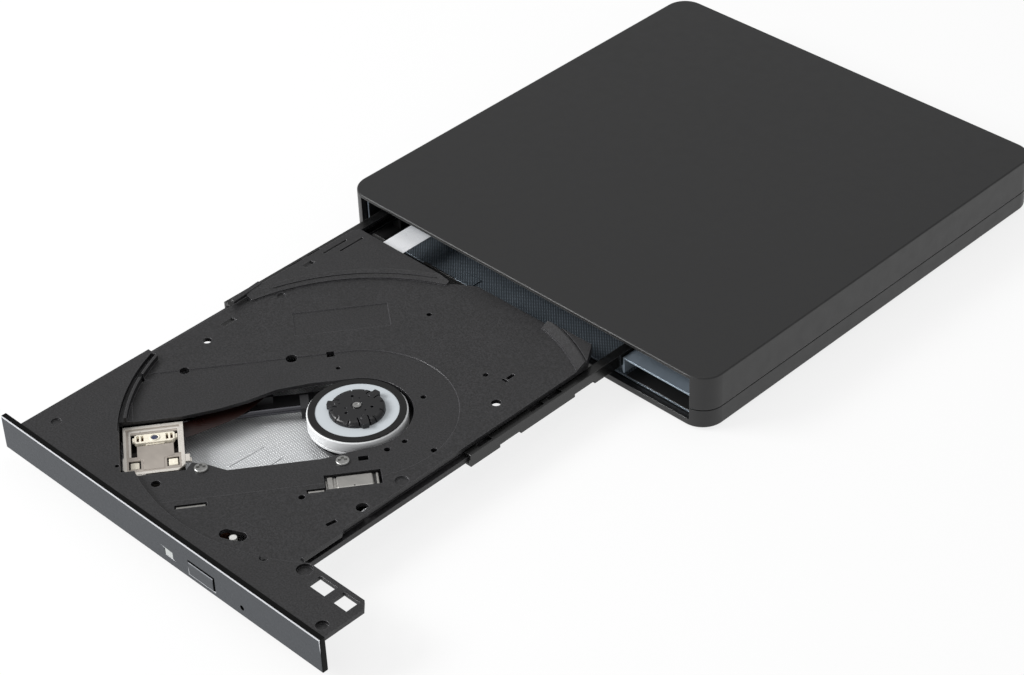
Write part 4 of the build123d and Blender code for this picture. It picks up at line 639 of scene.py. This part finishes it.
def copy_of(node):
    """A merged copy of a solid node's mesh, in mm."""
    bm = bmesh.new()
    bm.from_mesh(nodes[node].data)
    bmesh.ops.scale(bm, vec=(1 / MM, 1 / MM, 1 / MM), verts=bm.verts)
    bmesh.ops.remove_doubles(bm, verts=bm.verts, dist=WELD)
    bmesh.ops.dissolve_limit(bm, angle_limit=math.radians(1), verts=bm.verts, edges=bm.edges)
    return bm


def corners_mm(node):
    """A node's lowest and highest corners in mm."""
    low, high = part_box(node)
    return Vector(low) / MM, Vector(high) / MM


print("piece helpers ready")

# %% [markdown]
# ## Bezel and button
# The bezel's front edge is the brightest line on the whole drive, so it needs a real round on which
# the finish paints its highlight. A copy of each solid gets it, and the copies stand for the solids.
# The button is drawn in a little so that the gap around it shows as the dark line it is.

# %% Bezel and button
BEZEL_ROUND = 0.22
BUTTON_ROUND = 0.12
BUTTON_SHRINK = (0.975, 1.0, 0.93)
BUTTON_DROP = (-0.08, 0, -0.1)
bm = copy_of("bezel")
round_edges(bm, BEZEL_ROUND, angle=60, segments=3, chosen=lambda e: e.calc_length() > 3.0)
settle(bm, "bezel_rounded", "tray", "bezel_plastic", ["bezel"])
low, high = corners_mm("eject_button")
middle = (low + high) / 2
bm = copy_of("eject_button")
shrink = Matrix.Diagonal((*BUTTON_SHRINK, 1.0))
drop = Matrix.Translation(BUTTON_DROP)
place = Matrix.Translation(middle) @ drop @ shrink @ Matrix.Translation(-middle)
bmesh.ops.transform(bm, matrix=place, verts=bm.verts)
round_edges(bm, BUTTON_ROUND, angle=60, chosen=lambda e: e.calc_length() > 1.0)
settle(bm, "button_rounded", "eject_button", "button_plastic", ["eject_button"])

# %% [markdown]
# ## Clamp hub
# The hub holds the disc with three sprung claws between its petals. It turns with the motor, so it
# may stand at any angle, and here it is turned to stop with one claw towards the rear right. Small
# rounds on the petals, three low bosses and a painted edge highlight make a black hub readable.

# %% Clamp hub
HUB_TURN = math.radians(-46)
PETAL_ROUND = 0.07
BOSS_COUNT = 3
BOSS_FIRST = 94
BOSS_CIRCLE = 5.6
BOSS_LEVEL = 14.02
bm = copy_of("clamp_hub")
rotation = Matrix.Rotation(HUB_TURN, 4, "Z")
turn = Matrix.Translation(SPINDLE) @ rotation @ Matrix.Translation(-SPINDLE)
bmesh.ops.transform(bm, matrix=turn, verts=bm.verts)
round_edges(bm, PETAL_ROUND, angle=50, segments=2, chosen=lambda e: e.calc_length() > 0.4)
for step in range(BOSS_COUNT):
    angle = math.radians(BOSS_FIRST + 360 // BOSS_COUNT * step)
    boss = bmesh.ops.create_cone(bm, cap_ends=True, segments=20, radius1=0.75, radius2=0.6,
                                 depth=0.3)
    spot = (SPINDLE.x + BOSS_CIRCLE * math.cos(angle), SPINDLE.y + BOSS_CIRCLE * math.sin(angle),
            BOSS_LEVEL)
    bmesh.ops.translate(bm, verts=boss["verts"], vec=spot)
settle(bm, "hub_rounded", "rotor", "hub_plastic", ["clamp_hub"])

# %% [markdown]
# ## Pickup cover
# The laser pickup hides under a pressed nickel cover with a stiffening rim, a wide window for the
# lens carrier with a leg down each side, and two small windows over pale blocks. It is cut from
# flat blanks along straight lines: first the plate, then the rim and the raised border on top.
# Its places are along and across the sled's line, measured from the spindle.

# %% Pickup cover
COVER_LOW = 9.4
COVER_HIGH = 9.95
PLATE_HIGH = COVER_HIGH - 0.12
RAISED_LOW = COVER_HIGH - 0.14
outline = [(46.8, -6.8), (63.0, -6.8), (63.0, 6.0), (63.3, 6.4),
           (63.3, 11.0), (61.6, 13.4), (48.9, 13.4), (46.8, 11.0)]
lens_window = (48.1, 60.9, -3.5, 1.6)
leg_windows = [(48.1, 49.6, 1.2, 5.9), (59.4, 60.9, 1.2, 5.9)]
pad_windows = [(48.4, 51.6, 7.5, 11.0), (58.5, 61.7, 7.5, 11.0)]
windows = [lens_window, *leg_windows, *pad_windows]
tongue = [(49.6, 1.6), (59.4, 1.6), (59.4, 6.6), (57.8, 7.4),
          (57.8, 11.6), (52.3, 11.6), (52.3, 7.4), (49.6, 6.6)]
border = [(47.8, -5.0), (61.6, -5.0), (61.6, 6.0), (47.8, 6.0)]
rim_opening = (47.8, 62.2, -5.7, 12.4)
border_opening = (48.4, 61.0, -4.2, 7.0)
side_lug = (45.5, 47.0, 7.0, 10.0, COVER_LOW, COVER_HIGH)
side_hook = (45.1, 46.2, 8.3, 10.0, COVER_LOW - 0.2, COVER_HIGH - 0.25)
front_lug = (57.4, 60.0, 13.1, 13.6, COVER_LOW - 0.9, COVER_HIGH - 0.1)
front_rib = (57.8, 58.2, 12.7, 13.65, COVER_HIGH - 0.2, COVER_HIGH + 0.06)
left_pad = (48.7, 51.2, 7.9, 10.6, 8.2, 9.7)
right_pad = (58.9, 61.3, 7.9, 10.6, 8.2, 9.6)
bm = bmesh.new()
cut_sheet(bm, outline, windows, COVER_LOW, PLATE_HIGH, 0.08)
cut_sheet(bm, tongue, [], RAISED_LOW, COVER_HIGH, 0.1)
settle(bm, "pickup_cover_pressed", "pickup", "pickup_nickel", ["pickup_cover"], SLED)
# The rim, border, lugs and rib below take the lighter nickel: a painted highlight.
bm = bmesh.new()
cut_sheet(bm, outline, [rim_opening], RAISED_LOW, COVER_HIGH + 0.1, 0.12)
cut_sheet(bm, border, [border_opening], RAISED_LOW, COVER_HIGH + 0.04, 0.1)
for lug in (side_lug, side_hook, front_lug):
    slab(bm, *lug, 0.12)
slab(bm, *front_rib, 0.08)
settle(bm, "pickup_cover_rim", "pickup", "pickup_rim", (), SLED)

bm = bmesh.new()
for pad in (left_pad, right_pad):
    slab(bm, *pad, 0.25, 3)
settle(bm, "pickup_pads", "pickup", "lens_plastic", (), SLED)

# %% [markdown]
# ## Lens carrier
# The carrier has two coil slots at each end and a small lug on each side. The lens itself is
# small: a dark dome in a raised ring, each made by spinning a short profile.

# %% Lens carrier
LENS_AT = 54.5
LENS_ACROSS = -0.8
CARRIER_LOW = 9.2
CARRIER_TOP = 10.42
LENS_LOW = 10.3
SLOT_HALF = 0.32
bm = bmesh.new()
slots = [(LENS_AT + side - SLOT_HALF, LENS_AT + side + SLOT_HALF, -2.1, 0.2)
         for side in (-4.5, -3.3, 3.3, 4.5)]
blank = [(49.1, -2.3), (49.7, -2.7), (59.3, -2.7), (59.9, -2.3),
         (59.9, 0.3), (59.3, 1.0), (49.7, 1.0), (49.1, 0.3)]
near_lug = (48.5, 49.3, -1.9, -0.2, 9.3, 10.1)
far_lug = (59.7, 60.5, -1.9, -0.2, 9.3, 10.1)
middle_lug = (52.0, 57.0, 0.8, 1.35, 9.1, 9.9)
coil_block = (49.5, 59.5, -2.4, 0.7, 8.1, 9.5)
cut_sheet(bm, blank, slots, CARRIER_LOW, CARRIER_TOP, 0.16)
for lug in (near_lug, far_lug, middle_lug):
    slab(bm, *lug, 0.1)
ring = [(0.95, LENS_LOW), (0.95, 10.55), (1.15, 10.66), (1.35, 10.6), (1.5, LENS_LOW),
        (0.95, LENS_LOW)]
spun(bm, ring, (LENS_AT, LENS_ACROSS))
settle(bm, "lens_carrier_shaped", "lens", "lens_plastic", ["lens_holder"], SLED)
bm = bmesh.new()
dome = [(0, LENS_LOW), (1.0, LENS_LOW), (1.0, 10.45), (0.85, 10.56), (0.5, 10.64), (0, 10.66)]
spun(bm, dome, (LENS_AT, LENS_ACROSS))
settle(bm, "lens_dome", "lens", "lens_glass", ["lens"], SLED)
bm = bmesh.new()
slab(bm, *coil_block, 0.2)
settle(bm, "focus_coils", "lens", "copper_core", (), SLED)

# %% [markdown]
# ## Sled motor
# The sled motor is a small can that was flattened to fit the drive's height, with a black end cap
# and a small pin mark on its top. Each block below is a length along the sled's line, a half
# width on each side of the motor's middle, and how far it stays inside the can's bottom and top.

# %% Sled motor
MOTOR_ACROSS = 27.2
low, high = corners_mm("sled_motor")
MOTOR_HIGH = high.z
MOTOR_LOW = low.z


def motor_block(bm, start, end, left, right, above, under, width, segments=2):
    """Adds one rounded block of the motor to a mesh."""
    slab(bm, start, end, MOTOR_ACROSS - left, MOTOR_ACROSS + right,
         MOTOR_LOW + above, MOTOR_HIGH - under, width, segments)


bm = bmesh.new()
motor_block(bm, -1.6, 8.3, 2.65, 2.65, 0, 0, 0.7, 4)
motor_block(bm, 8.2, 9.0, 2.3, 2.3, 0.3, 0.35, 0.3, 3)
motor_block(bm, 8.95, 10.6, 2.6, 2.6, 0.1, 0.1, 0.35, 3)
motor_block(bm, -2.9, -2.3, 2.3, 2.5, 0.4, 0.2, 0.12)
settle(bm, "motor_can", "tray", "motor_nickel", ["sled_motor"], SLED)
bm = bmesh.new()
motor_block(bm, -3.25, -1.4, 2.5, 2.5, 0.2, 0.5, 0.4, 3)
PIN_RADIUS = 0.22
pin_low, pin_high = MOTOR_HIGH - 0.2, MOTOR_HIGH + 0.01
pin = [(0, pin_low), (PIN_RADIUS, pin_low), (PIN_RADIUS, pin_high), (0, pin_high)]
spun(bm, pin, (3.6, MOTOR_ACROSS + 1.9), 16)
settle(bm, "motor_cap", "tray", "connector_plastic", (), SLED)

# %% [markdown]
# ## Ribbon and flex
# Both flat cables cross a joint. Each is a thin strip that is swept along a smooth path by
# extruding one cross edge step by step.

# %% Ribbon and flex


def strip(path, left, right, thick):
    """A thin band: each row joins a left and a right point, and the band is then thickened."""
    bm = bmesh.new()
    row = [bm.verts.new(left(path[0])), bm.verts.new(right(path[0]))]
    edge = bm.edges.new(row)
    for spot in path[1:]:
        grown = bmesh.ops.extrude_edge_only(bm, edges=[edge])["geom"]
        edge = [item for item in grown if isinstance(item, bmesh.types.BMEdge)][0]
        ends = sorted(edge.verts, key=lambda v: (v.co - row[0].co).length)
        ends[0].co = left(spot)
        ends[1].co = right(spot)
        row = ends
    bmesh.ops.recalc_face_normals(bm, faces=bm.faces)
    bmesh.ops.solidify(bm, geom=bm.faces[:], thickness=thick)
    return bm


def eased(points, steps):
    """Points along a smooth curve through a few given ones."""
    fine = []
    last = len(points) - 1
    for index in range(last):
        p0, p1 = Vector(points[max(index - 1, 0)]), Vector(points[index])
        p2, p3 = Vector(points[index + 1]), Vector(points[min(index + 2, last)])
        for step in range(steps):
            t = step / steps
            fine.append(0.5 * (2 * p1 + (p2 - p0) * t + (2 * p0 - 5 * p1 + 4 * p2 - p3) * t * t
                               + (3 * p1 - p0 - 3 * p2 + p3) * t * t * t))
    fine.append(Vector(points[last]))
    return fine


CURVE_STEPS = 6
RIBBON_LEFT = -50.0
RIBBON_RIGHT = -41.6
RIBBON_THICK = 0.12
ribbon_bends = [(-11.0, 4.05), (-24.0, 4.1), (-42.0, 7.2), (-56.0, 9.75),
                (-66.0, 9.9), (-80.0, 9.85), (-86.0, 9.5), (-90.0, 8.95)]
bm = strip(eased(ribbon_bends, CURVE_STEPS), lambda p: (RIBBON_LEFT, p[0], p[1]),
           lambda p: (RIBBON_RIGHT, p[0], p[1]), RIBBON_THICK)
ribbon = settle(bm, "ribbon_strip", None, "ribbon", ["ribbon_cable"])
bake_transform(ribbon)

FLEX_LEVEL = 8.72
FLEX_THICK = 0.1
near = eased([(46.95, -1.0), (40.4, -3.6), (32.1, -7.4), (26.5, -12.2)], CURVE_STEPS)
far = eased([(46.95, -7.6), (38.0, -11.2), (30.0, -14.6), (22.0, -17.4)], CURVE_STEPS)
pairs = list(zip(near, far))
bm = strip(pairs, lambda p: (p[0].x, p[0].y, FLEX_LEVEL), lambda p: (p[1].x, p[1].y, FLEX_LEVEL),
           FLEX_THICK)
bmesh.ops.transform(bm, matrix=SLED, verts=bm.verts)
flex = settle(bm, "flex_strip", None, "flex", ["pickup_flex"])
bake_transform(flex)

# %% [markdown]
# ## Ridge and corner bar
# A low ridge runs along the slope between the disc recess and the deck, and a short bar stands at
# the deck's rear left corner. The ridge is a small square that is spun part of a turn round the
# spindle.

# %% Ridge
RIDGE_INNER = 62.3
RIDGE_OUTER = RIDGE_INNER + 0.35
RIDGE_LOW = 12.3
RIDGE_HIGH = 12.73
RIDGE_START = math.radians(116)
RIDGE_SWEEP = math.radians(44)
BAR_AT = (-57.35, -132.5, 0)
BAR_TURN = math.radians(95)
BAR_LENGTH = 11.3
BAR_HALF = 0.8
BAR_LOW = 12.3
BAR_HIGH = 13.35
bm = bmesh.new()
profile = [(RIDGE_INNER, RIDGE_LOW), (RIDGE_OUTER, RIDGE_LOW),
           (RIDGE_OUTER, RIDGE_HIGH), (RIDGE_INNER, RIDGE_HIGH)]
face = bm.faces.new([bm.verts.new((r, 0, z)) for r, z in profile])
start = Matrix.Rotation(RIDGE_START, 3, "Z")
bmesh.ops.rotate(bm, verts=bm.verts, cent=(0, 0, 0), matrix=start)
bmesh.ops.spin(bm, geom=[face], cent=(0, 0, 0), axis=(0, 0, 1), angle=RIDGE_SWEEP, steps=36)
bmesh.ops.translate(bm, verts=bm.verts, vec=SPINDLE)
bar = bmesh.new()
slab(bar, 0, BAR_LENGTH, -BAR_HALF, BAR_HALF, BAR_LOW, BAR_HIGH, 0.3, 3)
turn = Matrix.Translation(BAR_AT) @ Matrix.Rotation(BAR_TURN, 4, "Z")
bmesh.ops.transform(bar, matrix=turn, verts=bar.verts)
merge(bm, bar)
settle(bm, "tray_ridge", "tray", "tray_plastic")

# %% [markdown]
# ## Creases in the shield
# Two short ribs are pressed into the shield to stiffen it. They are thin bars with a full round,
# half sunk into the sheet, so that only a soft ridge stands up. Each has a start, an end and a
# width.

# %% Creases
SHIELD_TOP = 4.2
CREASE_DEPTH = 0.2
CREASE_ROUND = 0.18
CREASES = (
    ((-11.2, -174.8), (-10.5, -162.9), 0.6),
    ((-3.3, -168.3), (-3.4, -162.1), 0.5),
)
bm = bmesh.new()
for (x0, y0), (x1, y1), width in CREASES:
    ridge = bmesh.new()
    run = Vector((x1 - x0, y1 - y0, 0))
    slab(ridge, 0, run.length, -width / 2, width / 2,
         SHIELD_TOP - CREASE_DEPTH, SHIELD_TOP + CREASE_DEPTH, CREASE_ROUND, 3)
    turn = Matrix.Translation((x0, y0, 0)) @ Matrix.Rotation(math.atan2(run.y, run.x), 4, "Z")
    bmesh.ops.transform(ridge, matrix=turn, verts=ridge.verts)
    merge(bm, ridge)
settle(bm, "shield_creases", "tray", "shield_steel")

# %% [markdown]
# ## Black shade liners
# Thin black sheets lie in the pan where the mouth is in deep shade: on its floor under the left rail
# and under the raised wing, over parts of its front lip, and on its left wall. They paint that shade,
# so both ends of the mouth look dark; the floor sheets also stand for a drive's black lining film.

# %% Black liners
FLOOR_LEVEL = 3.0
SHADE_LINER_LEVEL = 3.25
SHADE_LINER_ROUND = 0.08
WALL_SHADE_LINER_ROUND = 0.03
LIP_LOW = 2.2
under_rail = (-63.6, -50.8, -73.4, 40.0, FLOOR_LEVEL, SHADE_LINER_LEVEL)
left_lip = (-63.6, -50.8, -73.62, -73.3, LIP_LOW, SHADE_LINER_LEVEL)
left_wall = (-63.98, -63.86, -73.45, -62.0, 3.3, 14.2)
middle_lip = (-41.0, -18.0, -73.62, -73.1, LIP_LOW, 3.2)
under_wing = (40.0, 63.6, -73.4, 50.0, FLOOR_LEVEL, SHADE_LINER_LEVEL)
bm = bmesh.new()
slab(bm, *under_rail, SHADE_LINER_ROUND)
slab(bm, *left_lip, SHADE_LINER_ROUND)
slab(bm, *left_wall, WALL_SHADE_LINER_ROUND)
slab(bm, *middle_lip, SHADE_LINER_ROUND)
slab(bm, *under_wing, SHADE_LINER_ROUND)
# These black sheets darken both ends of the mouth: a painted shade.
settle(bm, "pan_shade_liners", "case", "connector_plastic")

# %% Finish
print("pieces done")
